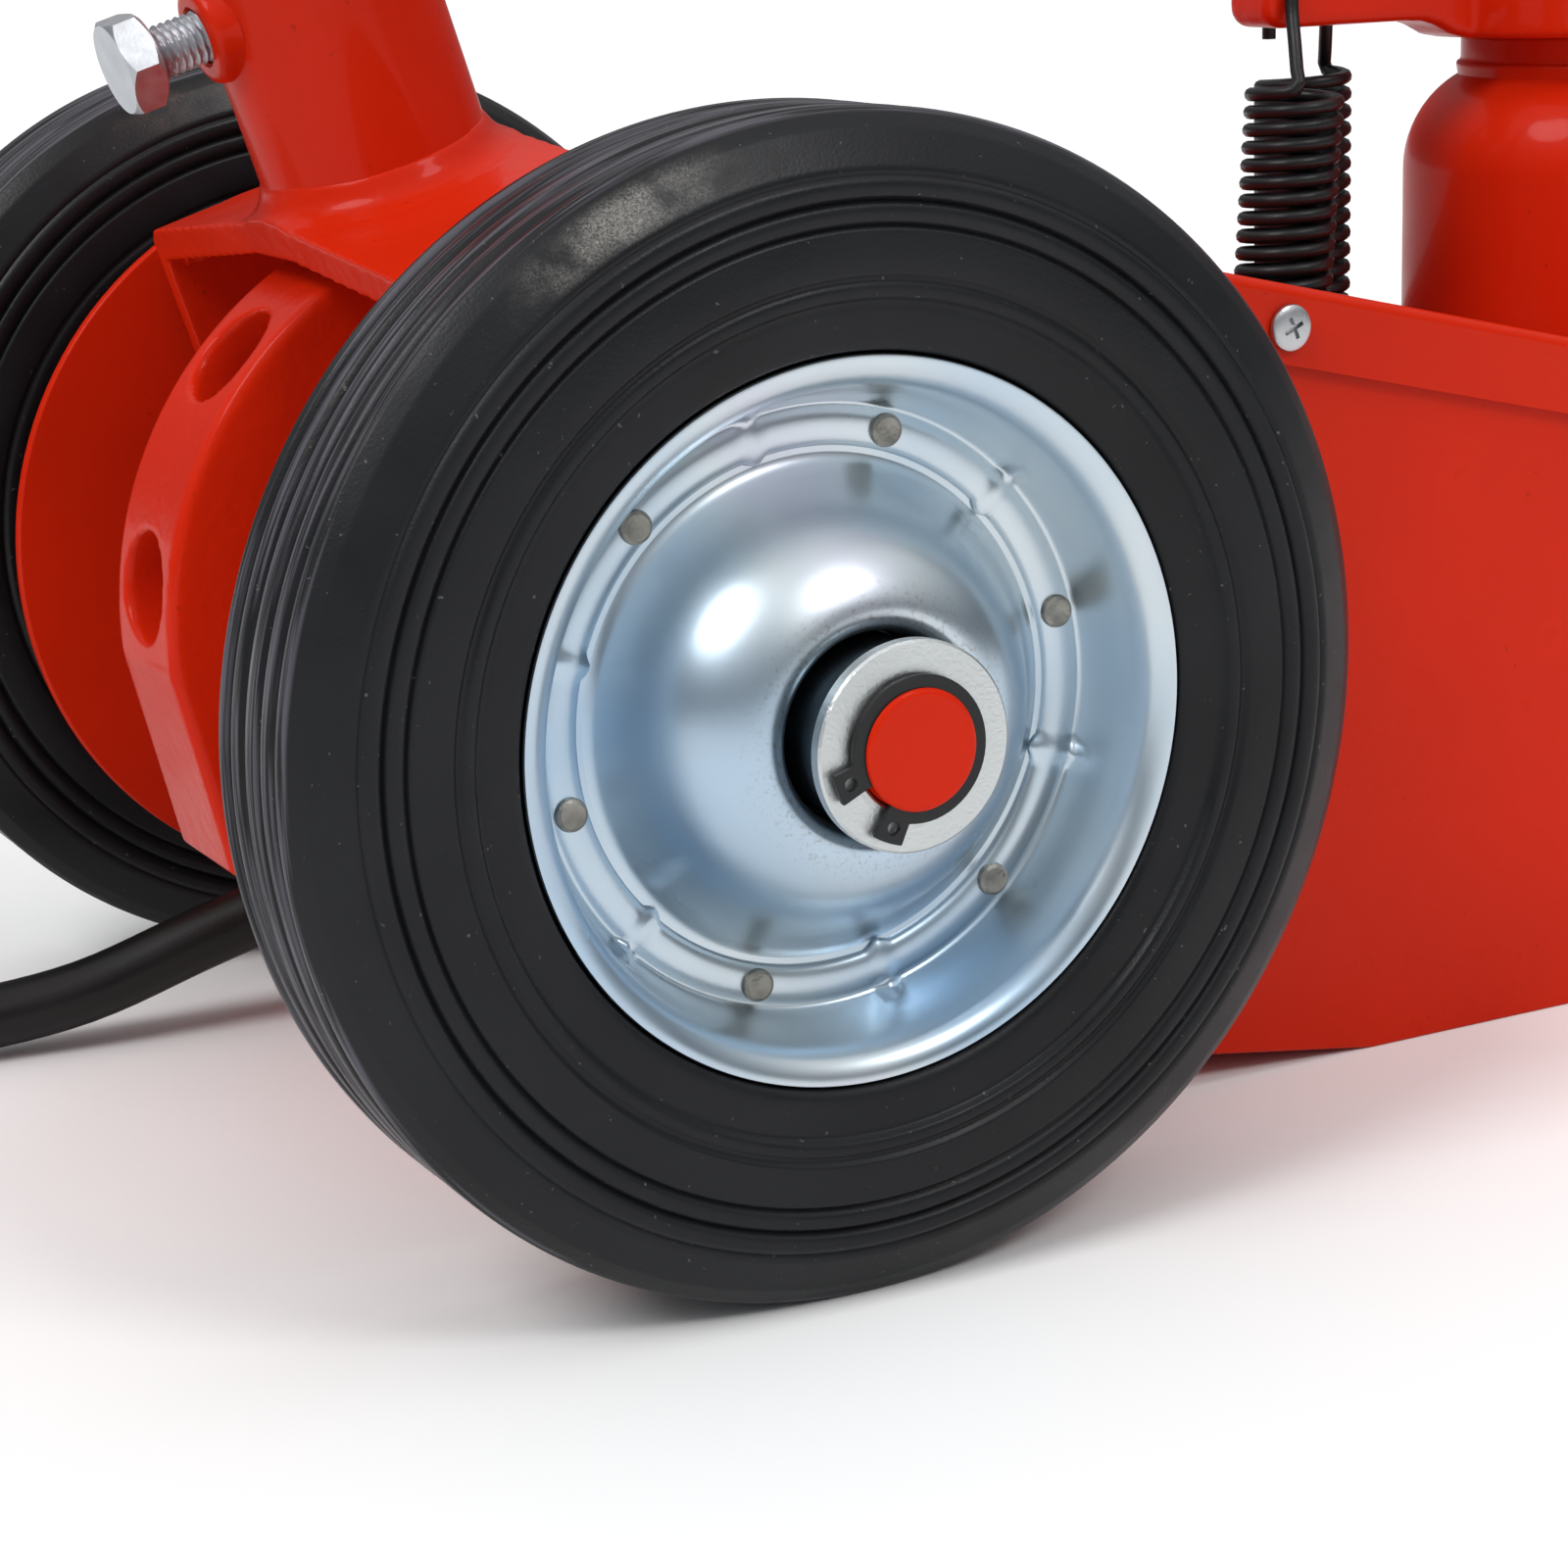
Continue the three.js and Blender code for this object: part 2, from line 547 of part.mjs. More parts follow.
function valveBody() {
  const body = inLine([
    [0, 0.5], [5, 0.5], [5, 18], [10, 18], [13.6, 22], [13.6, 66], [10, 70], [10, 78], [0, 78],
  ], 16);
  const ears = [[-7.5, -4.5], [4.5, 7.5]].map((yRange) => {
    return box([24, 36], yRange, [8, LEVER_Z + 5]).translate(...VALVE_START);
  });
  return join(body, ...ears);
}

function valveLever() {
  const half = 4.2;
  const pivot = rod([30, -half, LEVER_Z], [30, half, LEVER_Z], 4, 14);
  const paddle = slab(outline([
    [30, LEVER_Z - 2], [51, LEVER_Z + 2], [93, LEVER_Z + 8], [97, LEVER_Z + 5],
    [98, LEVER_Z + 7], [93, LEVER_Z + 11], [50, LEVER_Z + 5], [30, LEVER_Z + 2],
  ]), -half, half);
  return join(pivot, paddle).translate(...VALVE_START);
}

function quickNipple() {
  return inLine([
    [0, 78.3], [9.5, 78.3], [9.5, 86], [6, 86], [6, 98], [7.2, 99], [7.2, 101], [5, 103], [5, 108],
    [6, 109], [6, 114], [2.5, 114], [2.5, 84], [0, 84],
  ], 12);
}

// ---------------------------------------------------------------- assembly
const jack = new THREE.Group();

add(jack, 'base_plate', basePlate(), paint(RED));
add(jack, 'side_plate_near', sidePlate(-1), paint(RED));
add(jack, 'side_plate_far', sidePlate(1), paint(RED));
add(jack, 'rear_bulkhead', bulkhead(REAR_X, 21.2), paint(RED));
add(jack, 'nose_plate', bulkhead(NOSE_X - PANEL_T, BASE_T + GAP), paint(RED));
add(jack, 'lid', lid(), paint(RED));
[[-1, -144.7], [1, -144.7], [-1, 90], [1, 90]].forEach(([side, x], i) => {
  add(jack, `lid_screw_${i + 1}`, lidScrew(side, x), metal('#c9ccd0', 0.3));
});
add(jack, 'axle', axle(), paint(RED));
add(jack, 'index_quadrant', quadrant(), paint(RED));
[[-1, 'near'], [1, 'far']].forEach(([side, name]) => {
  jack.add(wheel(side, name));
  add(jack, `washer_${name}`, washer(side), metal('#b9bab6', 0.5));
  add(jack, `circlip_${name}`, circlip(side), metal('#26282a', 0.5));
});

add(jack, 'cylinder', cylinder(), paint(RED));
add(jack, 'ram_rod', ram(), metal('#dfe3e6', 0.1));
add(jack, 'lift_head', liftHead(), paint(RED));
add(jack, 'saddle', saddle(), metal('#3a3c3e', 0.6));
SPRINGS.forEach((place) => add(jack, place.name, spring(place), dull('#161719', 0.4)));
add(jack, 'pump_block', pumpBlock(), metal('#5d6062', 0.6));
add(jack, 'air_motor', airMotor(), metal('#a8acaf', 0.4));
add(jack, 'release_knob', releaseKnob(), dull('#1a1a1b', 0.5));

const handle = new THREE.Group();
handle.position.set(AXLE_X, 0, AXLE_Z);
handle.rotation.y = -HANDLE_TILT;
add(handle, 'yoke', yoke(), paint(RED));
add(handle, 'socket_tube', socketTube(), paint(RED));
add(handle, 'clamp_bolt', clampBolt(), metal(ZINC, 0.3));
add(handle, 'handle_bar', handleBar(), paint(RED));
add(handle, 'grip_near', grip(-1), dull(RUBBER, 0.7));
add(handle, 'grip_far', grip(1), dull(RUBBER, 0.7));
add(handle, 'index_pin', indexPin(), metal('#8d9196', 0.4));
jack.add(handle);

add(jack, 'hose_gland', hoseGland(), metal('#b99a55', 0.35));
add(jack, 'hose', hose(), dull(RUBBER, 0.5));
add(jack, 'hose_coil', hoseCoil(), dull(RUBBER, 0.5));
add(jack, 'valve_body', valveBody(), metal('#a8acaf', 0.35));
add(jack, 'valve_lever', valveLever(), dull('#1a1a1b', 0.5));
add(jack, 'quick_nipple', quickNipple(), metal('#c9ccd0', 0.25));

export default jack;
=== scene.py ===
# Visual model of a wheeled air-over-hydraulic truck jack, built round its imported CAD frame.
# Shapes are worked out in millimetres and turned into metres when a piece is made.
from math import acos, asin, atan2, copysign, cos, degrees, exp, pi, radians, sin, sqrt, tan

import bpy
from mathutils import Matrix, Vector


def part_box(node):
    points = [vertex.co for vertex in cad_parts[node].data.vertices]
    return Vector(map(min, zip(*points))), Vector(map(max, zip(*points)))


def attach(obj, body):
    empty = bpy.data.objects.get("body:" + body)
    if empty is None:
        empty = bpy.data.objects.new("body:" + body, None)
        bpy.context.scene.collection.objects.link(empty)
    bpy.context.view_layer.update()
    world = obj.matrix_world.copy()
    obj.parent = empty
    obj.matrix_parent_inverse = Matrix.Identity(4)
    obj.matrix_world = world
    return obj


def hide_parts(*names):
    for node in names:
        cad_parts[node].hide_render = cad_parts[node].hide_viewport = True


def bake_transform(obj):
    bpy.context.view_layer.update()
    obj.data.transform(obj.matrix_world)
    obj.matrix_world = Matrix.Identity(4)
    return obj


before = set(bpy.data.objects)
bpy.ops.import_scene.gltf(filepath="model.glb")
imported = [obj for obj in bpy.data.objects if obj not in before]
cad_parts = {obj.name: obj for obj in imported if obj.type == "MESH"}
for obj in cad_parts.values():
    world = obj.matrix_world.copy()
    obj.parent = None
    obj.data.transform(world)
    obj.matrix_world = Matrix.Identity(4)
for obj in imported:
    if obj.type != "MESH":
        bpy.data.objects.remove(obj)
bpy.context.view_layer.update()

MM = 0.001


def box_mm(node):
    low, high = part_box(node)
    return low / MM, high / MM


def centre_mm(node):
    low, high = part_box(node)
    return (low + high) / 2 / MM


# ------------------------------------------------------------------ driving dimensions, in mm
# the near side faces -Y
SIDES = ((-1, "near"), (1, "far"))
AXLE = centre_mm("axle")
WHEEL_Y = centre_mm("tyre_far").y
AXLE_R = 10.1
AXLE_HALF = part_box("axle")[1].y / MM
HUB_R = 16
HUB_HALF = 30
TYRE_R = 100
RIVET_CIRCLE_R = 47.8
RIVET_FIRST = radians(13.3)
NOTCH_FIRST = radians(43.3)
CLIP_GAP_DEG = 222

PANEL_Y = 82.75
PANEL_T = 3
CHEEK_R = 77
KINK_X = -122
NOSE_X = 125
REAR_X = -220
LID_SLOPE = radians(13.3)
LID_ABOVE_AXLE = 84.3
LID_T = 1.5
FLANGE_H = 15
GAP = 0.3
SPRING_HOLE_R = 15.2

CYLINDER_R = 42
HEAD_Z = 195
HEAD_TOP_Z = 222
SADDLE_TOP_Z = 240
SCREW_BORE_R = 14.2
SPRING_TOP_Z = 188.5
WIRE_R = 1.5
SPRING_MID_R = 9.25
PITCH = 3.75
EYE_Z = 209

QUADRANT_R = 76.5
DETENTS_DEG = (0, 31.6, 67.3)
TILT = radians(17)
TUBE_X = 2
TUBE_R = 22
TUBE_IN_R = 18.5
YOKE_TOP = 86.4
BOSS_Z = 121.6
BAR_R = 17
BAR_IN_R = 14
BAR_TOP = 840
CROSS_R = 12
CROSS_HALF = 175
PIN_R = 8
PIN_KNOB_Z = 165

HOSE_R = 6.75
COIL_CENTRE = Vector((-560, 118, 0))
COIL_MID_R = 80
VALVE_START = Vector((COIL_CENTRE.x + 62, COIL_CENTRE.y + COIL_MID_R, 13.9))

# ------------------------------------------------------------------ placements
HANDLE = Matrix.Translation(AXLE) @ Matrix.Rotation(-TILT, 4, "Y")
SOCKET = HANDLE @ Matrix.Translation((TUBE_X, 0, 0))
# a turned shape's own Z becomes the wheel's outward side, world X stays X
OUT_NEAR = Matrix.Rotation(pi / 2, 4, "X")
OUT_FAR = Matrix.Rotation(-pi / 2, 4, "X")
ALONG_X = Matrix.Rotation(pi / 2, 4, "Y")
# a section drawn in (y, z) is extruded along X
SECTION_ALONG_X = Matrix(((0, 0, 1, 0), (1, 0, 0, 0), (0, 1, 0, 0), (0, 0, 0, 1)))


def facing(side):
    return OUT_NEAR if side < 0 else OUT_FAR


def wheel_place(side):
    return Matrix.Translation((AXLE.x, side * WHEEL_Y, AXLE.z)) @ facing(side)


# ------------------------------------------------------------------ shapes: (vertices, faces) in mm
def moved(shape, matrix):
    vertices, faces = shape
    if matrix.determinant() < 0:
        faces = [face[::-1] for face in faces]
    return [matrix @ Vector(v) for v in vertices], faces


def shifted(shape, x, y, z):
    return moved(shape, Matrix.Translation((x, y, z)))


def together(*shapes):
    vertices, faces = [], []
    for points, polygons in shapes:
        start = len(vertices)
        vertices += points
        faces += [[start + i for i in polygon] for polygon in polygons]
    return vertices, faces


def lathe(profile, segments=96, bend=None):
    """Turns a closed profile of (radius, height) about Z. bend(angle, radius, height) may move a point."""
    ring = list(profile)
    area = sum(a[0] * b[1] - b[0] * a[1] for a, b in zip(ring, ring[1:] + ring[:1]))
    if area < 0:
        ring.reverse()
    vertices, rows = [], []
    for radius, height in ring:
        if radius < 1e-6:
            rows.append([len(vertices)] * segments)
            vertices.append(Vector((0, 0, height)))
            continue
        rows.append([len(vertices) + i for i in range(segments)])
        for i in range(segments):
            angle = 2 * pi * i / segments
            r, z = bend(angle, radius, height) if bend else (radius, height)
            vertices.append(Vector((r * cos(angle), r * sin(angle), z)))
    faces = []
    for low, high in zip(rows, rows[1:] + rows[:1]):
        for i in range(segments):
            j = (i + 1) % segments
            corners = [low[i], low[j], high[j], high[i]]
            face = [c for k, c in enumerate(corners) if c != corners[k - 1]]
            if len(face) > 2:
                faces.append(face)
    return vertices, faces


def slab(outline, low, high):
    """Extrudes an outline of (x, y) along Z between two heights."""
    count = len(outline)
    area = sum(a[0] * b[1] - b[0] * a[1] for a, b in zip(outline, outline[1:] + outline[:1]))
    ring = list(outline) if area > 0 else list(outline)[::-1]
    vertices = [Vector((x, y, z)) for z in (low, high) for x, y in ring]
    sides = [[i, (i + 1) % count, count + (i + 1) % count, count + i] for i in range(count)]
    return vertices, [list(range(count))[::-1], list(range(count, 2 * count)), *sides]


def upright(outline, low, high):
    """Extrudes an outline of (x, z) along Y."""
    return moved(slab([(x, -z) for x, z in outline], low, high), OUT_FAR)


def box(low, high):
    (x0, y0, z0), (x1, y1, z1) = low, high
    return slab([(x0, y0), (x1, y0), (x1, y1), (x0, y1)], z0, z1)


def rod(start, end, radius, segments=48):
    start, end = Vector(start), Vector(end)
    along = end - start
    turn = Vector((0, 0, 1)).rotation_difference(along).to_matrix().to_4x4()
    length = along.length
    cylinder = lathe([(0, 0), (radius, 0), (radius, length), (0, length)], segments)
    return moved(cylinder, Matrix.Translation(start) @ turn)


def arc(cx, cy, radius, start, end, steps):
    angles = [radians(start + (end - start) * i / steps) for i in range(steps + 1)]
    return [(cx + radius * cos(a), cy + radius * sin(a)) for a in angles]


def ease(t):
    """Goes from 0 to 1 with a gentle start and end."""
    t = min(1, max(0, t))
    return t * t * (3 - 2 * t)


def smooth_path(points, step):
    """A Catmull-Rom curve through the points, with a vertex about every step mm."""
    points = [Vector(p) for p in points]
    ends = [2 * points[0] - points[1], *points, 2 * points[-1] - points[-2]]
    path = []
    for a, b, c, d in zip(ends, ends[1:], ends[2:], ends[3:]):
        count = max(1, round((c - b).length / step))
        for i in range(count):
            t = i / count
            path.append(0.5 * (2 * b + (c - a) * t + (2 * a - 5 * b + 4 * c - d) * t**2
                               + (3 * b - a - 3 * c + d) * t**3))
    return [*path, points[-1]]


def tube_faces(rings, sides):
    """The faces of a tube made of rings of vertices, with a cap at each end."""
    faces = [list(range(sides))[::-1]]
    for row in range(0, (rings - 1) * sides, sides):
        for i in range(sides):
            j = (i + 1) % sides
            faces.append([row + i, row + j, row + sides + j, row + sides + i])
    faces.append([(rings - 1) * sides + i for i in range(sides)])
    return faces


def sweep(path, radius, sides=12):
    """A round tube along a path; radius may be a number or one number for each point."""
    path = [Vector(p) for p in path]
    radii = radius if isinstance(radius, list) else [radius] * len(path)
    tangents = [(b - a).normalized() for a, b in zip([path[0], *path], [*path[1:], path[-1]])]
    side = tangents[0].orthogonal().normalized()
    vertices = []
    for point, tangent, reach in zip(path, tangents, radii):
        side = (side - tangent * side.dot(tangent)).normalized()
        other = tangent.cross(side)
        for i in range(sides):
            angle = 2 * pi * i / sides
            vertices.append(point + reach * (cos(angle) * side + sin(angle) * other))
    return vertices, tube_faces(len(path), sides)


def threaded(radius, depth, pitch, length, segments):
    """A rod along Z with a helical thread, which tapers over its last pitch."""
    rows = int(length / pitch * 8)
    vertices = []
    for row in range(rows + 1):
        z = length * row / rows
        fade = min(1, (length - z) / pitch)
        for i in range(segments):
            angle = 2 * pi * i / segments
            phase = (z / pitch - i / segments) % 1
            r = radius - depth * abs(2 * phase - 1) * fade - (1 - fade) * depth
            vertices.append(Vector((r * cos(angle), r * sin(angle), z)))
    return vertices, tube_faces(rows + 1, segments)


def linked(name, data):
    """Puts an object with this data in the scene."""
    obj = bpy.data.objects.new(name, data)
    bpy.context.collection.objects.link(obj)
    return obj


def temporary(shape):
    mesh = bpy.data.meshes.new("temporary")
    mesh.from_pydata([tuple(v) for v in shape[0]], [], shape[1])
    return linked("temporary", mesh)


def worked(shape, add=(), cut=(), keep=(), bevel=0, bevel_angle=35, voxel=0, smooth=0):
    """Joins, cuts and keeps with booleans, then bevels, or remeshes and smooths for a cast look."""
    base = temporary(shape)
    helpers = []
    for operation, shapes in (("UNION", add), ("DIFFERENCE", cut), ("INTERSECT", keep)):
        for other in shapes:
            helper = temporary(other)
            helpers.append(helper)
            boolean = base.modifiers.new("boolean", "BOOLEAN")
            boolean.operation = operation
            boolean.object = helper
            boolean.solver = "EXACT"
    if voxel:
        remesh = base.modifiers.new("remesh", "REMESH")
        remesh.mode = "VOXEL"
        remesh.voxel_size = voxel
        relax = base.modifiers.new("relax", "SMOOTH")
        relax.factor = 0.5
        relax.iterations = smooth
    if bevel:
        edge = base.modifiers.new("bevel", "BEVEL")
        edge.width = bevel
        edge.segments = 3
        edge.limit_method = "ANGLE"
        edge.angle_limit = radians(bevel_angle)
    made = base.evaluated_get(bpy.context.evaluated_depsgraph_get()).to_mesh()
    result = [v.co.copy() for v in made.vertices], [list(p.vertices) for p in made.polygons]
    for obj in [base, *helpers]:
        bpy.data.objects.remove(obj, do_unlink=True)
    return result


def hex_prism(across, low, high, chamfer=0.8):
    """A hexagon across its corners, with both ends chamfered all round."""
    radius = across / 2
    prism = lathe([(0, low), (radius, low), (radius, high), (0, high)], 6)
    flat = radius * cos(pi / 6)
    cone = lathe([(0, low), (flat, low), (radius + 0.2, low + chamfer), (radius + 0.2, high - chamfer),
                  (flat, high), (0, high)], 72)
    return worked(prism, keep=(cone,))


def bead(path, radius, waviness, seed):
    """A weld bead: a round rod along a path, whose radius ripples."""
    radii = []
    for i in range(len(path)):
        ripple = sin(i * 1.9 + seed) + 0.6 * sin(i * 0.73 + 2 * seed)
        radii.append(radius * (1 + waviness * ripple))
    return sweep(path, radii, 12)


# ------------------------------------------------------------------ materials
class Finish:
    """A procedural material: a shader and the noise that varies it, in the object's own metres."""

    def __init__(self, name, color, roughness, metallic=0.0):
        self.name = name
        self.material = bpy.data.materials.new(name)
        self.material.use_nodes = True
        self.nodes = self.material.node_tree.nodes
        self.links = self.material.node_tree.links
        self.shader = self.nodes["Principled BSDF"]
        self.shader.inputs["Base Color"].default_value = (*color, 1)
        self.shader.inputs["Roughness"].default_value = roughness
        self.shader.inputs["Metallic"].default_value = metallic
        self.coordinates = self.nodes.new("ShaderNodeTexCoord").outputs["Object"]
        self.height = None

    def vector(self, operation, first, second, output="Vector"):
        """Works on a linked vector and a fixed one."""
        node = self.nodes.new("ShaderNodeVectorMath")
        node.operation = operation
        node.inputs[1].default_value = second
        self.links.new(first, node.inputs[0])
        return node.outputs[output]

    def noise(self, scale, detail=3.0, roughness=0.5, distortion=0.0, stretch=(1, 1, 1)):
        node = self.nodes.new("ShaderNodeTexNoise")
        node.inputs["Scale"].default_value = scale
        node.inputs["Detail"].default_value = detail
        node.inputs["Roughness"].default_value = roughness
        node.inputs["Distortion"].default_value = distortion
        self.links.new(self.vector("MULTIPLY", self.coordinates, stretch), node.inputs["Vector"])
        return node.outputs["Fac"]

    def off_axle(self):
        """Distance from the line of the axle."""
        flat = self.vector("MULTIPLY", self.coordinates, (1, 0, 1))
        return self.vector("DISTANCE", flat, (AXLE.x * MM, 0, AXLE.z * MM), "Value")

    def over(self, amount, color):
        """Lays a colour over the base colour, by an amount from 0 to 1."""
        base = self.shader.inputs["Base Color"]
        mix = self.nodes.new("ShaderNodeMix")
        mix.data_type = "RGBA"
        self.links.new(amount, mix.inputs["Factor"])
        self.links.new(base.links[0].from_socket, mix.inputs[6])
        mix.inputs[7].default_value = (*color, 1)
        self.links.new(mix.outputs[2], base)
        return self

    def spread(self, value, low, high, to_low, to_high):
        node = self.nodes.new("ShaderNodeMapRange")
        limits = {"From Min": low, "From Max": high, "To Min": to_low, "To Max": to_high}
        for socket, number in limits.items():
            node.inputs[socket].default_value = number
        self.links.new(value, node.inputs["Value"])
        return node.outputs["Result"]

    def times(self, first, second):
        node = self.nodes.new("ShaderNodeMath")
        node.operation = "MULTIPLY"
        self.links.new(first, node.inputs[0])
        self.links.new(second, node.inputs[1])
        return node.outputs["Value"]

    def tint(self, value, stops):
        node = self.nodes.new("ShaderNodeValToRGB")
        elements = node.color_ramp.elements
        while len(elements) < len(stops):
            elements.new(0.5)
        for element, (position, color) in zip(elements, stops):
            element.position = position
            element.color = (*color, 1)
        self.links.new(value, node.inputs["Fac"])
        self.links.new(node.outputs["Color"], self.shader.inputs["Base Color"])
        return self

    def gloss(self, scale, low, high, detail=4.0):
        varied = self.spread(self.noise(scale, detail), 0.3, 0.7, low, high)
        self.links.new(varied, self.shader.inputs["Roughness"])
        return self

    def bump(self, scale, depth, detail=2.0, distortion=0.0):
        """Adds relief of about depth metres."""
        node = self.nodes.new("ShaderNodeBump")
        node.inputs["Distance"].default_value = depth
        self.links.new(self.noise(scale, detail, distortion=distortion), node.inputs["Height"])
        if self.height:
            self.links.new(self.height, node.inputs["Normal"])
        self.height = node.outputs["Normal"]
        self.links.new(self.height, self.shader.inputs["Normal"])
        return self

    def set(self, **values):
        for name, value in values.items():
            self.shader.inputs[name.replace("_", " ")].default_value = value
        return self


def shades(color, low, high):
    """Ramp stops from a darker to a lighter shade of a colour."""
    return [(0.3, tuple(c * low for c in color)), (0.7, tuple(c * high for c in color))]


def plain(name, color, roughness, metallic=0.0, scale=60.0, change=0.1, grain=1500.0, depth=0.00004):
    """A finish with a gentle change of shade and gloss, and a fine grain."""
    finish = Finish(name, color, roughness, metallic)
    finish.tint(finish.noise(scale), shades(color, 1 - change, 1 + change))
    finish.gloss(scale * 2, roughness * 0.85, roughness * 1.15)
    return finish.bump(grain, depth)


RED = (0.58, 0.0185, 0.003)
RUBBER = (0.0085, 0.009, 0.0105)
# dust on the tyres' upper shoulders, with a painted highlight of the top light laid into it: a place in
# metres, its reach, its strength and its colour
SHOULDER_DUST_AND_HIGHLIGHT = [
    ((-0.3106, -0.1425, 0.185), 0.024, 1.0, (0.28, 0.27, 0.25)),
    ((-0.2948, 0.1065, 0.1912), 0.02, 0.55, (0.16, 0.12, 0.1)),
]


def red_paint(name, peel):
    """Red paint with fine dark specks, and a relief of peel metres."""
    finish = Finish(name, RED, 0.3)
    finish.tint(finish.noise(18), shades(RED, 0.93, 1.06))
    finish.over(finish.spread(finish.noise(420, 2.0), 0.73, 0.78, 0.0, 0.5), (0.25, 0.01, 0.002))
    finish.gloss(40, 0.26, 0.36)
    finish.bump(260, peel)
    return finish.set(Coat_Weight=0.11, Coat_Roughness=0.07, Specular_IOR_Level=0.05)


def zinc_plate():
    """Bluish plated steel, with grime close round the hub."""
    finish = Finish("zinc_plate", (0.42, 0.5, 0.56), 0.34, 1.0)
    finish.tint(finish.noise(11, 1.5, distortion=0.4), [
        (0.3, (0.42, 0.55, 0.68)), (0.45, (0.59, 0.66, 0.7)), (0.58, (0.61, 0.57, 0.7)),
        (0.72, (0.68, 0.7, 0.69)),
    ])
    grime = finish.spread(finish.noise(1300, 4.0, 0.7), 0.54, 0.66, 0.0, 0.6)
    lip = finish.spread(finish.off_axle(), 0.02, 0.027, 1.0, 0.0)
    finish.over(finish.times(grime, lip), (0.3, 0.25, 0.21))
    finish.gloss(45, 0.27, 0.35, detail=1.0)
    return finish.bump(400, 0.00001)


def tyre_rubber():
    """Black rubber with painted highlight lines on the tread's ridges, and dust with a painted highlight on
    the upper shoulders. Radii are in metres.
    """
    finish = Finish("tyre_rubber", RUBBER, 0.4)
    finish.tint(finish.noise(25), shades(RUBBER, 0.75, 1.3))
    radius = finish.off_axle()
    ridge = finish.spread(radius, 0.0988, 0.0994, 0.0, 1.0)
    # painted highlight: pale rings along the edges of the tread's ridges
    crest_highlight = finish.spread(finish.noise(1500, 2.0, stretch=(0.02, 1, 0.02)), 0.46, 0.6, 0.0, 0.8)
    finish.over(finish.times(ridge, crest_highlight), (0.1, 0.096, 0.115))
    shoulder = finish.times(finish.spread(radius, 0.0905, 0.0925, 0.0, 1.0),
                            finish.spread(radius, 0.0965, 0.0985, 1.0, 0.0))
    grit = finish.times(finish.spread(finish.noise(2600, 5.0, 0.7), 0.38, 0.68, 0.1, 1.0),
                        finish.spread(finish.noise(160), 0.35, 0.6, 0.1, 1.0))
    # dust patches on the upper shoulders, lightened as a painted highlight
    for centre, reach, strength, color in SHOULDER_DUST_AND_HIGHLIGHT:
        away = finish.vector("DISTANCE", finish.coordinates, centre, "Value")
        dust_and_highlight = finish.spread(away, 0.003, reach, strength, 0.0)
        finish.over(finish.times(finish.times(dust_and_highlight, grit), shoulder), color)
    motes = finish.spread(finish.noise(800, 2.0), 0.73, 0.76, 0.0, 0.35)
    finish.over(motes, (0.2, 0.2, 0.19))
    finish.gloss(60, 0.3, 0.46)
    finish.bump(1600, 0.00005)
    return finish.set(Specular_IOR_Level=0.22)


FINISHES = {finish.name: finish for finish in (
    red_paint("red_paint", 0.00003),
    red_paint("cast_paint", 0.00022),
    zinc_plate(),
    tyre_rubber(),
    plain("washer_steel", (0.6, 0.63, 0.63), 0.4, 1.0, change=0.08, depth=0.0001),
    plain("black_steel", (0.012, 0.013, 0.014), 0.36).set(Specular_IOR_Level=0.3),
    plain("rivet_steel", (0.3, 0.29, 0.26), 0.5, 1.0, scale=300, change=0.3, depth=0.0002),
    plain("hub_steel", (0.16, 0.19, 0.21), 0.24, 1.0, depth=0.00002),
    plain("bolt_zinc", (0.5, 0.52, 0.55), 0.44, 1.0, scale=200, depth=0.00003),
    plain("spring_steel", (0.008, 0.008, 0.009), 0.4).set(Specular_IOR_Level=0.3),
    plain("ram_chrome", (0.8, 0.82, 0.84), 0.08, 1.0, change=0.02, depth=0.00001),
    plain("saddle_iron", (0.035, 0.036, 0.038), 0.55, 0.4, grain=700, depth=0.0003),
    plain("pump_iron", (0.12, 0.125, 0.13), 0.6, 0.6, grain=500, depth=0.0004),
    plain("motor_alloy", (0.55, 0.56, 0.58), 0.35, 1.0, depth=0.0001),
    plain("brass", (0.62, 0.42, 0.15), 0.25, 1.0),
    plain("pin_steel", (0.5, 0.52, 0.54), 0.25, 1.0),
    plain("fastener_steel", (0.5, 0.51, 0.52), 0.38, 1.0),
    plain("knob_plastic", (0.012, 0.012, 0.013), 0.4),
    plain("grip_rubber", (0.014, 0.014, 0.015), 0.65, depth=0.0002),
    plain("hose_rubber", (0.009, 0.0085, 0.0085), 0.36, scale=30, change=0.2).set(Specular_IOR_Level=0.3),
)}


# ------------------------------------------------------------------ pieces
def piece(name, shape, finish, body, nodes=(), sharp=32):
    """Makes an object of a shape in mm. It rides on a body, if one is given, and stands for CAD nodes."""
    vertices, faces = shape
    mesh = bpy.data.meshes.new(name)
    mesh.from_pydata([tuple(Vector(v) * MM) for v in vertices], [], faces)
    mesh.shade_smooth()
    mesh.set_sharp_from_angle(angle=radians(sharp))
    mesh.materials.append(FINISHES[finish].material)
    obj = linked(name, mesh)
    weights = obj.modifiers.new("normals", "WEIGHTED_NORMAL")
    weights.keep_sharp = True
    if body:
        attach(obj, body)
    if nodes:
        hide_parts(*nodes)
    return obj


def dress(node, finish):
    """Gives a CAD node that stays in view its finish."""
    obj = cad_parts[node]
    obj.material_slots[0].link = "OBJECT"
    obj.material_slots[0].material = FINISHES[finish].material


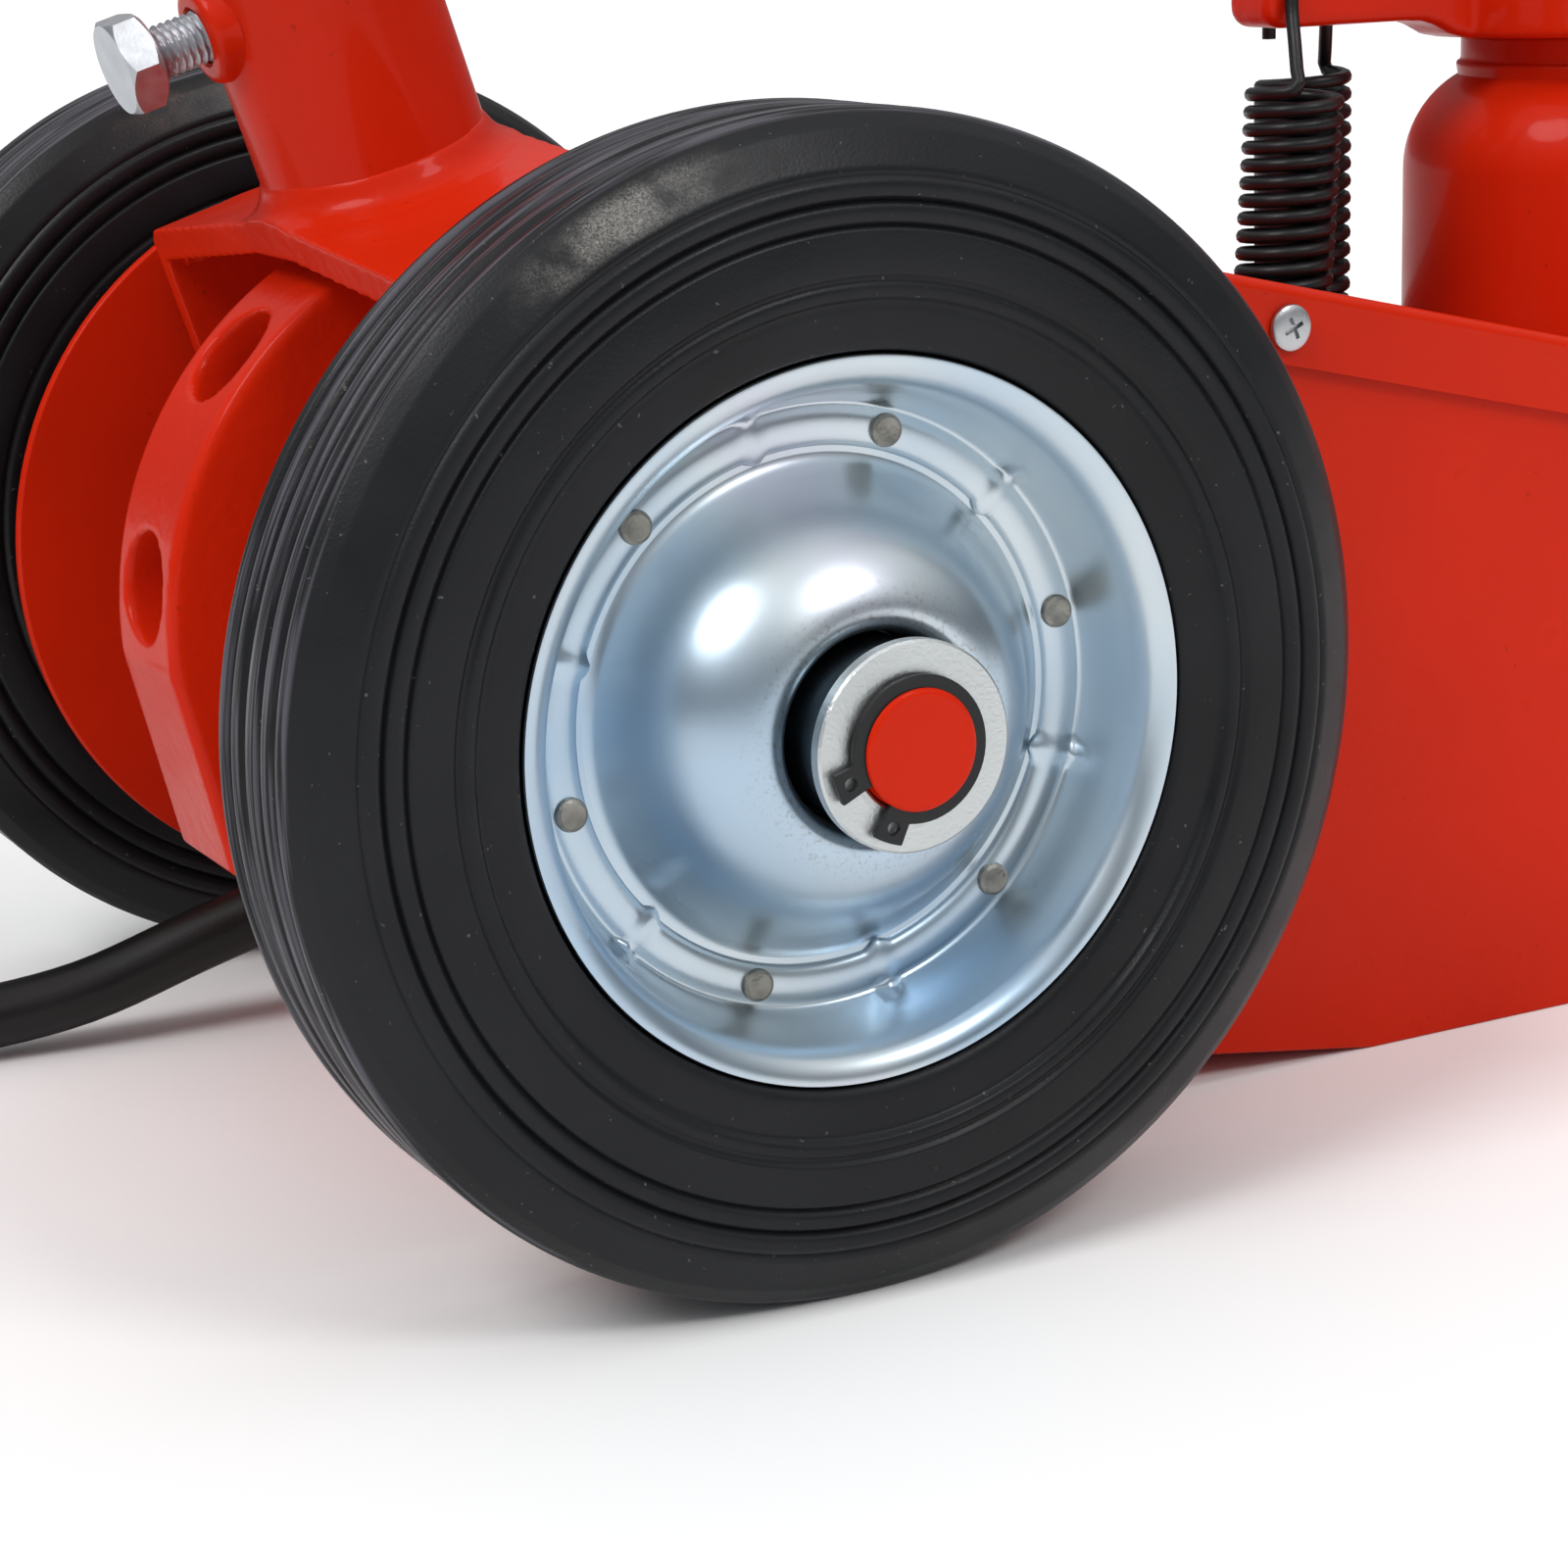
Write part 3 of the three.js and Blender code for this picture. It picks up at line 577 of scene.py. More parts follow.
# ------------------------------------------------------------------ camera, floor and light
def add_camera():
    """Looks down at the near wheel from behind it, on the jack's near side."""
    camera = bpy.data.cameras.new("camera")
    camera.sensor_width = 36
    camera.lens = 81.42
    camera.clip_start = 0.01
    obj = linked("camera", camera)
    right = Vector((0.8827, -0.4689, -0.0324))
    up = Vector((0.1461, 0.2082, 0.9671))
    back = Vector((-0.4467, -0.8584, 0.2523))
    turn = Matrix((right, up, back)).transposed().to_4x4()
    obj.matrix_world = Matrix.Translation((-0.5421, -0.63485, 0.2378)) @ turn
    bpy.context.scene.camera = obj


def add_floor():
    half = 40.0
    corners = [(-half, -half, 0), (half, -half, 0), (half, half, 0), (-half, half, 0)]
    mesh = bpy.data.meshes.new("floor")
    mesh.from_pydata(corners, [], [[0, 1, 2, 3]])
    floor = linked("floor", mesh)
    white = (0.96, 0.96, 0.96)
    finish = Finish("floor", white, 0.8)
    finish.tint(finish.noise(3), shades(white, 0.995, 1.0))
    mesh.materials.append(finish.material)


def add_light(name, direction, width_deg, strength):
    """A lamp far away in a direction, with a disc of some width."""
    light = bpy.data.lights.new(name, "SUN")
    light.angle = radians(width_deg)
    light.energy = strength
    obj = linked(name, light)
    obj.rotation_euler = Vector(direction).to_track_quat("Z", "Y").to_euler()


def add_studio():
    """A white backdrop, a sky that is bright overhead and dim lower down, and two softboxes."""
    world = bpy.data.worlds.new("studio")
    world.use_nodes = True
    nodes, links = world.node_tree.nodes, world.node_tree.links
    upward = nodes.new("ShaderNodeSeparateXYZ")
    links.new(nodes.new("ShaderNodeTexCoord").outputs["Generated"], upward.inputs["Vector"])
    ramp = nodes.new("ShaderNodeValToRGB")
    dim, bright = ramp.color_ramp.elements
    dim.position = 0.2
    dim.color = (0.16, 0.175, 0.19, 1)
    bright.position = 0.75
    bright.color = (1, 1, 1, 1)
    links.new(upward.outputs["Z"], ramp.inputs["Fac"])
    background = nodes["Background"]
    links.new(ramp.outputs["Color"], background.inputs["Color"])
    background.inputs["Strength"].default_value = 0.95
    backdrop = nodes.new("ShaderNodeBackground")
    backdrop.inputs["Color"].default_value = (1, 1, 1, 1)
    seen = nodes.new("ShaderNodeMixShader")
    links.new(nodes.new("ShaderNodeLightPath").outputs["Is Camera Ray"], seen.inputs[0])
    links.new(background.outputs["Background"], seen.inputs[1])
    links.new(backdrop.outputs["Background"], seen.inputs[2])
    links.new(seen.outputs["Shader"], nodes["World Output"].inputs["Surface"])
    bpy.context.scene.world = world
    add_light("left_softbox", (-0.66, -0.21, 0.73), 25, 1.25)
    add_light("front_softbox", (0.22, -0.66, 0.71), 17, 0.66)
    bpy.context.scene.view_settings.view_transform = "Standard"


# ------------------------------------------------------------------ air hose
# the route of part.mjs in mm, from the gland to the coil
HOSE_POINTS = [
    (-236, 51, 45), (-240, 51, 45), (-264, 53, 38.5), (-290, 58, 29.5), (-318, 63, 20.5),
    (-345, 67, 11.6), (-372, 71, 8), (-405, 71, 7.1), (-452, 57, 7.05), (-490, 42, 7.05),
    (-512, 36.5, 7.05),
]
COIL_TURN_DEG = 540
STEP_DEG = 10
CLIMB_FROM_DEG = 235
CLIMB_OVER_DEG = 95


def coil_points():
    """A turn and a half: it lies on the floor, then climbs before it meets its start and lies on itself."""
    low = HOSE_R + GAP
    points = []
    for turned in range(0, COIL_TURN_DEG + 1, STEP_DEG):
        angle = radians(-90 - turned)
        lift = (2 * HOSE_R + 0.15) * ease((turned - CLIMB_FROM_DEG) / CLIMB_OVER_DEG)
        around = Vector((cos(angle), sin(angle), 0))
        points.append(COIL_CENTRE + COIL_MID_R * around + Vector((0, 0, low + lift)))
    return points


def hose_path():
    coil = coil_points()
    tail = []
    for share in (1 / 3, 2 / 3):
        point = coil[-1].lerp(VALVE_START, share)
        point.z = coil[-1].z + (VALVE_START.z - coil[-1].z) * ease(share)
        tail.append(point)
    return smooth_path([*HOSE_POINTS, *coil, *tail, VALVE_START], step=5)


def in_line(shape):
    """Places a shape turned about Z along +X from the valve's inlet."""
    return moved(shape, Matrix.Translation(VALVE_START) @ ALONG_X)


def add_valve():
    barrel = lathe([(0, 0.5), (6.4, 0.5), (7.4, 1.2), (8.4, 3), (8.4, 15), (7.6, 16.5), (7.6, 17.5),
                    (10.4, 18.6), (13.2, 21.4), (13.6, 22.6), (13.6, 30), (13.1, 30.6), (13.1, 31.8),
                    (13.6, 32.4), (13.6, 58), (13.1, 58.6), (13.1, 59.8), (13.6, 60.4), (13.6, 65),
                    (12.6, 67), (10.4, 69.4), (10, 70.2), (10, 77.4), (9.4, 78), (0, 78)], 64)
    ears = [box((24, low, 8), (36, high, 23)) for low, high in ((-7.5, -4.5), (4.5, 7.5))]
    place = Matrix.Translation(VALVE_START)
    ears = [moved(worked(ear, bevel=0.8), place) for ear in ears]
    body = piece("valve_barrel", together(in_line(barrel), *ears), "motor_alloy", "chassis", ["valve_body"])
    pivot_x = 30
    pivot_z = 18.1
    paddle = [(30, -2), (40, -0.6), (51, 2), (72, 5.6), (93, 8), (95.6, 6.6), (97.4, 5), (98.2, 5.6),
              (97.8, 8), (96, 10.2), (93, 11.2), (72, 8.8), (50, 5), (40, 3), (30, 2.6)]
    plate = worked(upright([(x, z + pivot_z) for x, z in paddle], -4.2, 4.2), bevel=0.8)
    hinge = rod((pivot_x, -4.2, pivot_z), (pivot_x, 4.2, pivot_z), 4)
    pin = rod((pivot_x, -8.4, pivot_z), (pivot_x, 8.4, pivot_z), 1.6, 24)
    lever = piece("valve_paddle", moved(together(plate, hinge), place), "knob_plastic", "valve_lever",
                  ["valve_lever"])
    piece("valve_pin", moved(pin, place), "fastener_steel", "chassis")
    collar = hex_prism(21, 78.3, 86)
    spigot = lathe([(2.5, 84), (2.5, 114), (5.4, 114), (6, 113.2), (6, 109.4), (5, 107.8), (4.9, 103.2),
                    (7.2, 101), (7.2, 99.2), (6.2, 98), (6, 97.4), (6, 84)], 48)
    nipple = piece("nipple_turned", in_line(together(collar, spigot)), "fastener_steel", "chassis",
                   ["quick_nipple"])
    return [body, lever, nipple]


def add_gland():
    low, high = box_mm("hose_gland")
    centre = (low + high) / 2
    length = high.x - low.x
    place = Matrix.Translation((high.x, centre.y, centre.z)) @ Matrix.Rotation(-pi / 2, 4, "Y")
    nut = hex_prism(21, 0, 7.6)
    ferrule = lathe([(0, 6.5), (8.6, 6.5), (8.9, 7.4), (8.9, 8.4), (8.2, 8.8), (8.2, 9.6), (8.9, 10),
                     (8.9, 11.2), (8.2, 11.6), (8.2, 12.4), (8.9, 12.8), (8.8, length - 0.6),
                     (8.2, length), (0, length)], 64)
    piece("gland_nut", moved(together(nut, ferrule), place), "brass", "chassis", ["hose_gland"])


def add_hose():
    path = hose_path()
    hose = piece("air_hose", sweep(path, HOSE_R, 20), "hose_rubber", "chassis", ["hose", "hose_coil"])
    add_valve()


# ------------------------------------------------------------------ wheels
def twin_groove(middle):
    """Two small grooves of the tread with a low rib between them, as points of (depth, height)."""
    half = [(0.1, 2.2), (0.4, 1.5), (1.2, 1.1), (1.6, 0.7), (1.25, 0.2)]
    below = [(depth, middle - away) for depth, away in half]
    above = [(depth, middle + away) for depth, away in reversed(half)]
    return [*below, (1, middle), *above]


# half of the tyre's section: (depth, height) across the tread, then (radius, height) down to the rim
TREAD = [
    (0.04, 0), *twin_groove(3.5), (0, 6.8), *twin_groove(10)[:-1], (0.1, 12), (0, 12.8), (0.05, 13.4),
]
SIDEWALL = [
    (99.8, 13.8), (99.3, 14.4), (97.1, 16.3), (96.4, 16.8), (91.2, 19.4), (90.3, 19.7), (89.8, 19.6),
    (89.5, 19.5), (89.2, 19.8), (88.8, 20.2), (88.2, 20.4), (87.4, 20.45), (86.6, 20.35), (86.1, 20),
    (85.8, 19.5), (85.5, 19.2), (85.3, 19.5), (85, 20), (84.5, 20.3), (83.6, 20.4), (82.8, 20.3),
    (82.2, 20), (81.9, 19.5), (81.6, 19.3), (81.4, 19.6), (81.1, 20), (80.6, 20.2), (77, 20.4), (74.4, 20.4),
    (73.9, 20.1), (73.5, 19.6), (72.9, 19.5), (72.5, 19.8), (71.9, 20.1), (70.7, 20), (70.2, 19.6),
    (69.8, 18.8), (69.2, 18.5), (68.6, 18.6), (67.6, 18.5), (65.5, 18.3), (63.4, 18.1), (62.2, 17.7),
    (61.6, 17), (61.4, 15.6), (61.3, 12.8), (57.6, 11), (53.9, 3), (53.7, 0),
]
# the section of one pressed half of the rim, in (radius, height): its outer face, then its inner face
RIM_FRONT = [
    (60.8, 16.5), (61.1, 17), (60.9, 17.4), (60.3, 17.5), (59.2, 17.2), (57.9, 16.6), (56.8, 15.6),
    (55.9, 14.2), (55.3, 12.2), (54.8, 9.8), (54.3, 7.2), (53.7, 4.8), (53, 2.9), (52.2, 1.5),
    (51.6, 0.9), (51.1, 0.85), (50.6, 1.1), (49.9, 1.45), (48.9, 1.65), (47.6, 1.7), (46.4, 1.6),
    (45.4, 1.35), (44.7, 0.95), (44.45, 0.5), (44.2, 0.15), (43.6, 0.1), (42.4, 0.4), (41.2, 1.2),
    (39.8, 2.8), (38.2, 5.2), (36.4, 8.3), (34.4, 11.7), (32.2, 14.8), (29.8, 17.5), (27.4, 19.6),
    (25, 21.2), (22.8, 22.3), (21, 22.8), (19.6, 22.9), (18.5, 22.6), (17.5, 21.7), (16.8, 20.2),
    (16.4, 17), (16.3, 12), (16.3, 8),
]
RIM_BACK = [
    (17.4, 8), (17.6, 12), (18, 15.4), (18.9, 17.9), (20.4, 19.5), (22.4, 20.2), (24.6, 19.6),
    (26.8, 18.3), (29, 16.3), (31.2, 13.8), (33.3, 10.7), (35.3, 7.3), (37.2, 4.2), (39, 1.8),
    (41, 0.2), (43, -0.2), (52, -0.1), (53.2, 1.6), (54, 4.4), (54.7, 7.8), (55.2, 10.8), (55.8, 13),
    (56.8, 14.9), (58.4, 16.1),
]


def crimped(angle, radius, height):
    """Six short crimps pinch the rim's riveted band."""
    pitch = radians(60)
    across = ((angle - NOTCH_FIRST + pitch / 2) % pitch - pitch / 2) * radius
    if not (42.5 < radius < 53.5 and height > 0.3):
        return radius, height
    crimp = exp(-(across / 1.6) ** 4)
    inner = ease((46.5 - radius) / 3)
    outer = ease((radius - 50.2) / 1.2)
    return radius - 1.5 * crimp * inner, height + crimp * (0.35 + 0.9 * outer - 0.2 * inner)


def add_tyre(side, name):
    half = [*((TYRE_R - depth, z) for depth, z in TREAD), *SIDEWALL]
    mirrored = [(r, -z) for r, z in reversed(half[1:-1])]
    shape = moved(lathe([*half, *mirrored], 240), wheel_place(side))
    piece(f"tyre_rubber_{name}", shape, "tyre_rubber", f"wheel_{name}", [f"tyre_{name}"], sharp=50)


def add_wheel(side, name):
    body = f"wheel_{name}"
    place = wheel_place(side)
    add_tyre(side, name)
    dish = lathe([*RIM_FRONT, *RIM_BACK], 288, crimped)
    flipped = place @ Matrix.Rotation(pi, 4, "X")
    for layer, spot in (("outer", place), ("inner", flipped)):
        half = moved(dish, spot)
        piece(f"dish_{layer}_{name}", half, "zinc_plate", body, [f"rim_{layer}_{name}"], sharp=50)
    outer = HUB_R - 0.4
    tube = lathe([(AXLE_R + GAP, -HUB_HALF), (outer - 0.6, -HUB_HALF), (outer, 0.6 - HUB_HALF),
                  (outer, HUB_HALF - 0.6), (outer - 0.6, HUB_HALF), (AXLE_R + GAP, HUB_HALF)], 96)
    piece(f"hub_tube_{name}", moved(tube, place), "hub_steel", body, [f"hub_{name}"])
    head = lathe([(0, 1), (2.75, 1), (2.9, 1.9), (2.75, 2.5), (2.2, 2.85), (1.6, 2.8), (0.9, 2.55),
                  (0, 2.6)], 32)
    for i in range(6):
        angle = RIVET_FIRST + i * pi / 3
        spot = (RIVET_CIRCLE_R * cos(angle), RIVET_CIRCLE_R * sin(angle), 0)
        rivet = moved(shifted(head, *spot), place)
        node = f"rivet_{name}_{i + 1}"
        piece(f"{node}_head", rivet, "rivet_steel", body, [node])


def add_axle():
    collar = (PANEL_Y + GAP, WHEEL_Y - HUB_HALF - GAP)
    groove = (WHEEL_Y + HUB_HALF + 3.6, WHEEL_Y + HUB_HALF + 5.4)
    half = [(AXLE_R, 0), (AXLE_R, collar[0]), (13.6, collar[0]), (14, collar[0] + 0.4),
            (14, collar[1] - 0.4), (13.6, collar[1]), (AXLE_R, collar[1]), (AXLE_R, groove[0]),
            (9.3, groove[0]), (9.3, groove[1]), (AXLE_R, groove[1]), (AXLE_R, AXLE_HALF - 0.8),
            (9.9, AXLE_HALF - 0.35), (9.5, AXLE_HALF - 0.1), (9, AXLE_HALF), (0, AXLE_HALF)]
    profile = [(r, -z) for r, z in reversed(half[1:])] + half
    bar = lathe(profile, 96)
    piece("axle_bar", moved(bar, Matrix.Translation(AXLE) @ OUT_FAR), "red_paint", "chassis", ["axle"])


def add_retainers(side, name):
    place = Matrix.Translation((AXLE.x, 0, AXLE.z)) @ facing(side)
    low = WHEEL_Y + HUB_HALF + GAP
    ring = lathe([(10.4, low), (17, low), (17.5, low + 0.5), (17.5, low + 2.6), (17.1, low + 3),
                  (10.9, low + 3), (10.4, low + 2.6)], 120)
    piece(f"washer_ring_{name}", moved(ring, place), "washer_steel", "chassis", [f"washer_{name}"])
    # the ring turns the other way on the far side, and has a lug on each side of its gap
    sign = -side
    start = sign * CLIP_GAP_DEG
    end = sign * (CLIP_GAP_DEG + 360)
    outline = [
        *arc(0, 0, 12.2, start + sign * 37, end - sign * 37, 48),
        *arc(0, 0, 15.8, end - sign * 34, end - sign * 15, 6),
        *arc(0, 0, 9.4, end - sign * 14, start + sign * 14, 56),
        *arc(0, 0, 15.8, start + sign * 15, start + sign * 34, 6),
    ]
    holes = []
    for angle in (radians(start - sign * 25), radians(start + sign * 25)):
        spot = Vector((cos(angle), sin(angle), 0)) * 13.3
        holes.append(rod(spot + Vector((0, 0, low)), spot + Vector((0, 0, low + 8)), 1.1, 20))
    plate = worked(slab(outline, low + 3.6, low + 4.8), cut=holes, bevel=0.2)
    piece(f"snap_ring_{name}", moved(plate, place), "black_steel", "chassis", [f"circlip_{name}"])


# ------------------------------------------------------------------ sheet-metal body
def lid_height(x):
    """Height of the lid's top face."""
    return AXLE.z + (LID_ABOVE_AXLE - (x - AXLE.x) * sin(LID_SLOPE)) / cos(LID_SLOPE)


def belly_rise():
    """Slope of the underside behind the kink, where it runs up to the round of the cheek."""
    kink = Vector((KINK_X - AXLE.x, AXLE.z))
    return atan2(kink.y, kink.x) - asin(CHEEK_R / kink.length)


def add_side_plate(side, name):
    under = LID_T / cos(LID_SLOPE) + GAP
    rear = Vector((REAR_X, lid_height(REAR_X) - under))
    arm = rear - Vector((AXLE.x, AXLE.z))
    first = degrees(atan2(arm.y, arm.x) + acos(CHEEK_R / arm.length))
    outline = [(KINK_X, 0), (NOSE_X, 0), (NOSE_X, lid_height(NOSE_X) - under), tuple(rear),
               *arc(AXLE.x, AXLE.z, CHEEK_R, first, 270 - degrees(belly_rise()), 64)]
    low = PANEL_Y - PANEL_T if side > 0 else -PANEL_Y
    hole = rod((AXLE.x, -200, AXLE.z), (AXLE.x, 200, AXLE.z), AXLE_R + GAP)
    plate = worked(upright(outline, low, low + PANEL_T), cut=(hole,), bevel=0.6)
    piece(f"cheek_{name}", plate, "red_paint", "chassis", [f"side_plate_{name}"])


def add_plates():
    for side, name in SIDES:
        add_side_plate(side, name)
    half = PANEL_Y - PANEL_T - GAP
    lift = (KINK_X - REAR_X) * tan(belly_rise())
    outline = [(KINK_X, 0), (NOSE_X, 0), (NOSE_X, 12), (KINK_X, 12), (REAR_X, lift + 6), (REAR_X, lift)]
    plate = worked(upright(outline, -half, half), bevel=0.8)
    piece("floor_plate", plate, "red_paint", "chassis", ["base_plate"])
    for node, x, low in (("rear_bulkhead", REAR_X, 21.2), ("nose_plate", NOSE_X - PANEL_T, 12.3)):
        top = [lid_height(at) - LID_T / cos(LID_SLOPE) - GAP for at in (x, x + PANEL_T)]
        sheet = upright([(x, low), (x + PANEL_T, low), (x + PANEL_T, top[1]), (x, top[0])], -half, half)
        piece(f"{node}_sheet", worked(sheet, bevel=0.5), "red_paint", "chassis", [node])


def add_lid():
    half = PANEL_Y + GAP + LID_T
    inner = half - LID_T
    bend = 2.2
    section = [
        (-half, -FLANGE_H), (-inner, -FLANGE_H), *arc(bend - half, -bend, bend - LID_T, 180, 90, 4),
        *arc(half - bend, -bend, bend - LID_T, 90, 0, 4), (inner, -FLANGE_H), (half, -FLANGE_H),
        *arc(half - bend, -bend, bend, 0, 90, 6), *arc(bend - half, -bend, bend, 90, 180, 6),
    ]
    length = (NOSE_X - REAR_X) / cos(LID_SLOPE)
    place = Matrix.Translation((REAR_X, 0, lid_height(REAR_X))) @ Matrix.Rotation(LID_SLOPE, 4, "Y")
    sheet = moved(slab(section, 0, length), place @ SECTION_ALONG_X)
    holes = [rod((0, 0, 40), (0, 0, 220), CYLINDER_R + 1.5, 96)]
    for spring in SPRINGS.values():
        share = (SPRING_TOP_Z - lid_height(spring["x"])) / (SPRING_TOP_Z - spring["foot_z"])
        x = spring["x"] + spring["shift"] * share
        holes.append(rod((x, spring["y"], 40), (x, spring["y"], 200), SPRING_HOLE_R, 64))
    piece("lid_sheet", worked(sheet, cut=holes, bevel=0.35), "red_paint", "chassis", ["lid"])


def add_lid_screws():
    head = lathe([(0, 0), (4.4, 0), (4.5, 0.4), (4.35, 0.9), (3.9, 1.25), (3, 1.5), (1.6, 1.65),
                  (0, 1.7)], 64)
    arms = [box((-2.2, -0.42, 0.4), (2.2, 0.42, 4)), box((-0.42, -2.2, 0.4), (0.42, 2.2, 4))]
    turned = [moved(arm, Matrix.Rotation(radians(25), 4, "Z")) for arm in arms]
    head = worked(head, cut=turned)
    for i in range(4):
        node = f"lid_screw_{i + 1}"
        low, high = box_mm(node)
        side = -1 if low.y < 0 else 1
        spot = ((low.x + high.x) / 2, high.y if side < 0 else low.y, (low.z + high.z) / 2)
        place = Matrix.Translation(spot) @ facing(side)
        piece(f"{node}_head", moved(head, place), "fastener_steel", "chassis", [node])


# ------------------------------------------------------------------ hydraulics
# x and y of the coil's top, the shift in X and the height of its foot, X of its eye in the ear, how far
# the hook slants along X as it goes through the eye, and the angle in degrees where the coil ends
SPRINGS = {
    "spring_rear_near": dict(x=-89, y=-9.4, shift=-10.4, foot_z=40, eye=-90, slant=8, end=225),
    "spring_rear_far": dict(x=-73, y=9.8, shift=0, foot_z=40, eye=-66.8, slant=0, end=10),
    "spring_front_far": dict(x=89, y=9.4, shift=10.4, foot_z=12.3, eye=90, slant=-8, end=45),
    "spring_front_near": dict(x=73, y=-9.8, shift=0, foot_z=12.3, eye=66.8, slant=0, end=190),
}


def spring_path(x, y, shift, foot_z, eye, slant, end):
    """The wire: a leaning helix, then a hook that goes up one face of the ear and through its eye."""
    start = foot_z + WIRE_R + 0.5
    top = SPRING_TOP_Z - WIRE_R + (0 if slant else 1.5)
    turns = round((top - start) / PITCH)
    steps = 20
    far_side = 19.4
    outward = copysign(1, y)
    last = radians(end)
    points = []
    for k in range(turns * steps + 1):
        share = k / (turns * steps)
        angle = last + 2 * pi * (k / steps - turns)
        centre = Vector((x + shift * (1 - share), y, start + share * (top - start)))
        points.append(centre + SPRING_MID_R * Vector((cos(angle), sin(angle), 0)))
    along = Vector((-sin(last), cos(last), 0))
    points += [points[-1] + along * 1.6 + Vector((0, 0, 0.5)), points[-1] + along * 2.4 + Vector((0, 0, 2))]
    stem = Vector((eye, outward * 9.6, 0))
    foot = points[-1] - stem
    for share, height in ((0.3, top + 4.4), (0.6, 197), (0.85, 201), (1, 204)):
        points.append(stem + Vector((foot.x * (1 - share), foot.y * (1 - share), height)))
    hook = [(0, 205.5), (0.6, 207.6), (2.4, EYE_Z - 0.2), (5, EYE_Z), (10, EYE_Z), (14.6, EYE_Z)]
    if slant:
        hook += [(17, EYE_Z - 0.4), (18.8, EYE_Z - 2), *((far_side, EYE_Z - drop) for drop in (4.6, 8, 12.4))]
    for inward, height in hook:
        points.append(stem + Vector((slant * inward / far_side, -outward * inward, height)))
    return points


def add_springs():
    for name, spring in SPRINGS.items():
        coil = sweep(spring_path(**spring), WIRE_R, 10)
        wire = piece(f"{name}_wire", coil, "spring_steel", None, [name], sharp=60)
        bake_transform(wire)


def add_cylinder():
    neck_r = 30
    round_r = 24
    turn = degrees(acos((neck_r - CYLINDER_R + round_r) / round_r))
    shoulder = arc(CYLINDER_R - round_r, 165, round_r, 0, turn, 20)
    profile = [(0, 12.3), (47.4, 12.3), (48, 12.9), (48, 19.7), (47.4, 20.3), (42.4, 20.3),
               (CYLINDER_R, 20.8), *shoulder, (30.3, 187.5), (30.4, 188), (30.2, 188.6), (29.6, 189),
               (29.4, 189.7), (29.4, 193.8), (29, 194.4), (28.2, 194.6), (22.9, 194.6), (22.6, 194.2),
               (22.6, 30), (0, 30)]
    piece("cylinder_shell", lathe(profile, 144), "red_paint", "chassis", ["cylinder"], sharp=40)


def add_ram():
    profile = [(22.3, 32.6), (21.7, 32), (0, 32), (0, 70), (SCREW_BORE_R, 70), (SCREW_BORE_R, 194.7),
               (20.8, 194.7), (21.2, 194.2), (21.2, 192.6), (22.3, 191.8)]
    piece("ram_bar", lathe(profile, 120), "ram_chrome", "ram", ["ram_rod"])
    collar = lathe([(0, HEAD_Z), (39, HEAD_Z), (40, HEAD_Z + 1), (40, HEAD_TOP_Z - 3.4), (39, HEAD_TOP_Z - 1),
                    (36.6, HEAD_TOP_Z), (0, HEAD_TOP_Z)], 96)
    right = [(30, HEAD_Z), (40, HEAD_Z + 0.1), (45, HEAD_Z + 1.3), (49, HEAD_Z + 3.3), (53, HEAD_Z + 4.4),
             (58, HEAD_Z + 4.6), *arc(90, 204.1, 4.5, -90, 0, 6), *arc(86.5, 211, 8, 0, 90, 6),
             (60, 219), (50, 219.6), (44, 221), (36, HEAD_TOP_Z - 0.6)]
    left = [(-x, z) for x, z in reversed(right)]
    ears = worked(upright([*right, *left], -7.4, 7.4), bevel=1.6, bevel_angle=50)
    eyes = [rod((spring["eye"], -20, EYE_Z), (spring["eye"], 20, EYE_Z), 2.4, 32)
            for spring in SPRINGS.values()]
    bore = rod((0, 0, 180), (0, 0, 240), SCREW_BORE_R + 0.2, 72)
    head = worked(collar, add=(ears,), cut=(bore, *eyes), voxel=0.7, smooth=3)
    piece("head_casting", head, "cast_paint", "ram", ["lift_head"], sharp=60)


def add_saddle():
    top = SADDLE_TOP_Z
    disc = lathe([(0, 222.3), (28.6, 222.3), (30.4, 223), (32, 225), (32, top - 2.4), (31.3, top - 0.7),
                  (29.6, top), (26.2, top), (25.6, top - 0.5), (0, top - 0.5)], 120)
    low, high = top - 4.5, top + 5
    grooves = [box((-4, -40, low), (4, 40, high)), box((-40, -4, low), (40, 4, high))]
    crown = worked(disc, cut=grooves, bevel=0.5)
    screw = shifted(threaded(13.9, 1.5, 5, 148, 48), 0, 0, 75)
    piece("saddle_crown", together(crown, screw), "saddle_iron", "saddle", ["saddle"])


def add_release_knob():
    low, high = box_mm("release_knob")
    place = Matrix.Translation((low.x, (low.y + high.y) / 2, (low.z + high.z) / 2)) @ ALONG_X

    def fluted(angle, radius, height):
        depth = 0.5 if radius > 8.6 else 0
        return radius + depth * cos(12 * angle), height

    disc = lathe([(0, 0), (10.2, 0), (10.8, 0.8), (10.8, 4.6), (10.2, 5.8), (8.4, 7), (0, 7)], 144, fluted)
    wing = worked(box((-14, -2.5, 5), (14, 2.5, 15)), bevel=1.8)
    piece("knob_wing", moved(together(disc, wing), place), "knob_plastic", "release_knob", ["release_knob"])


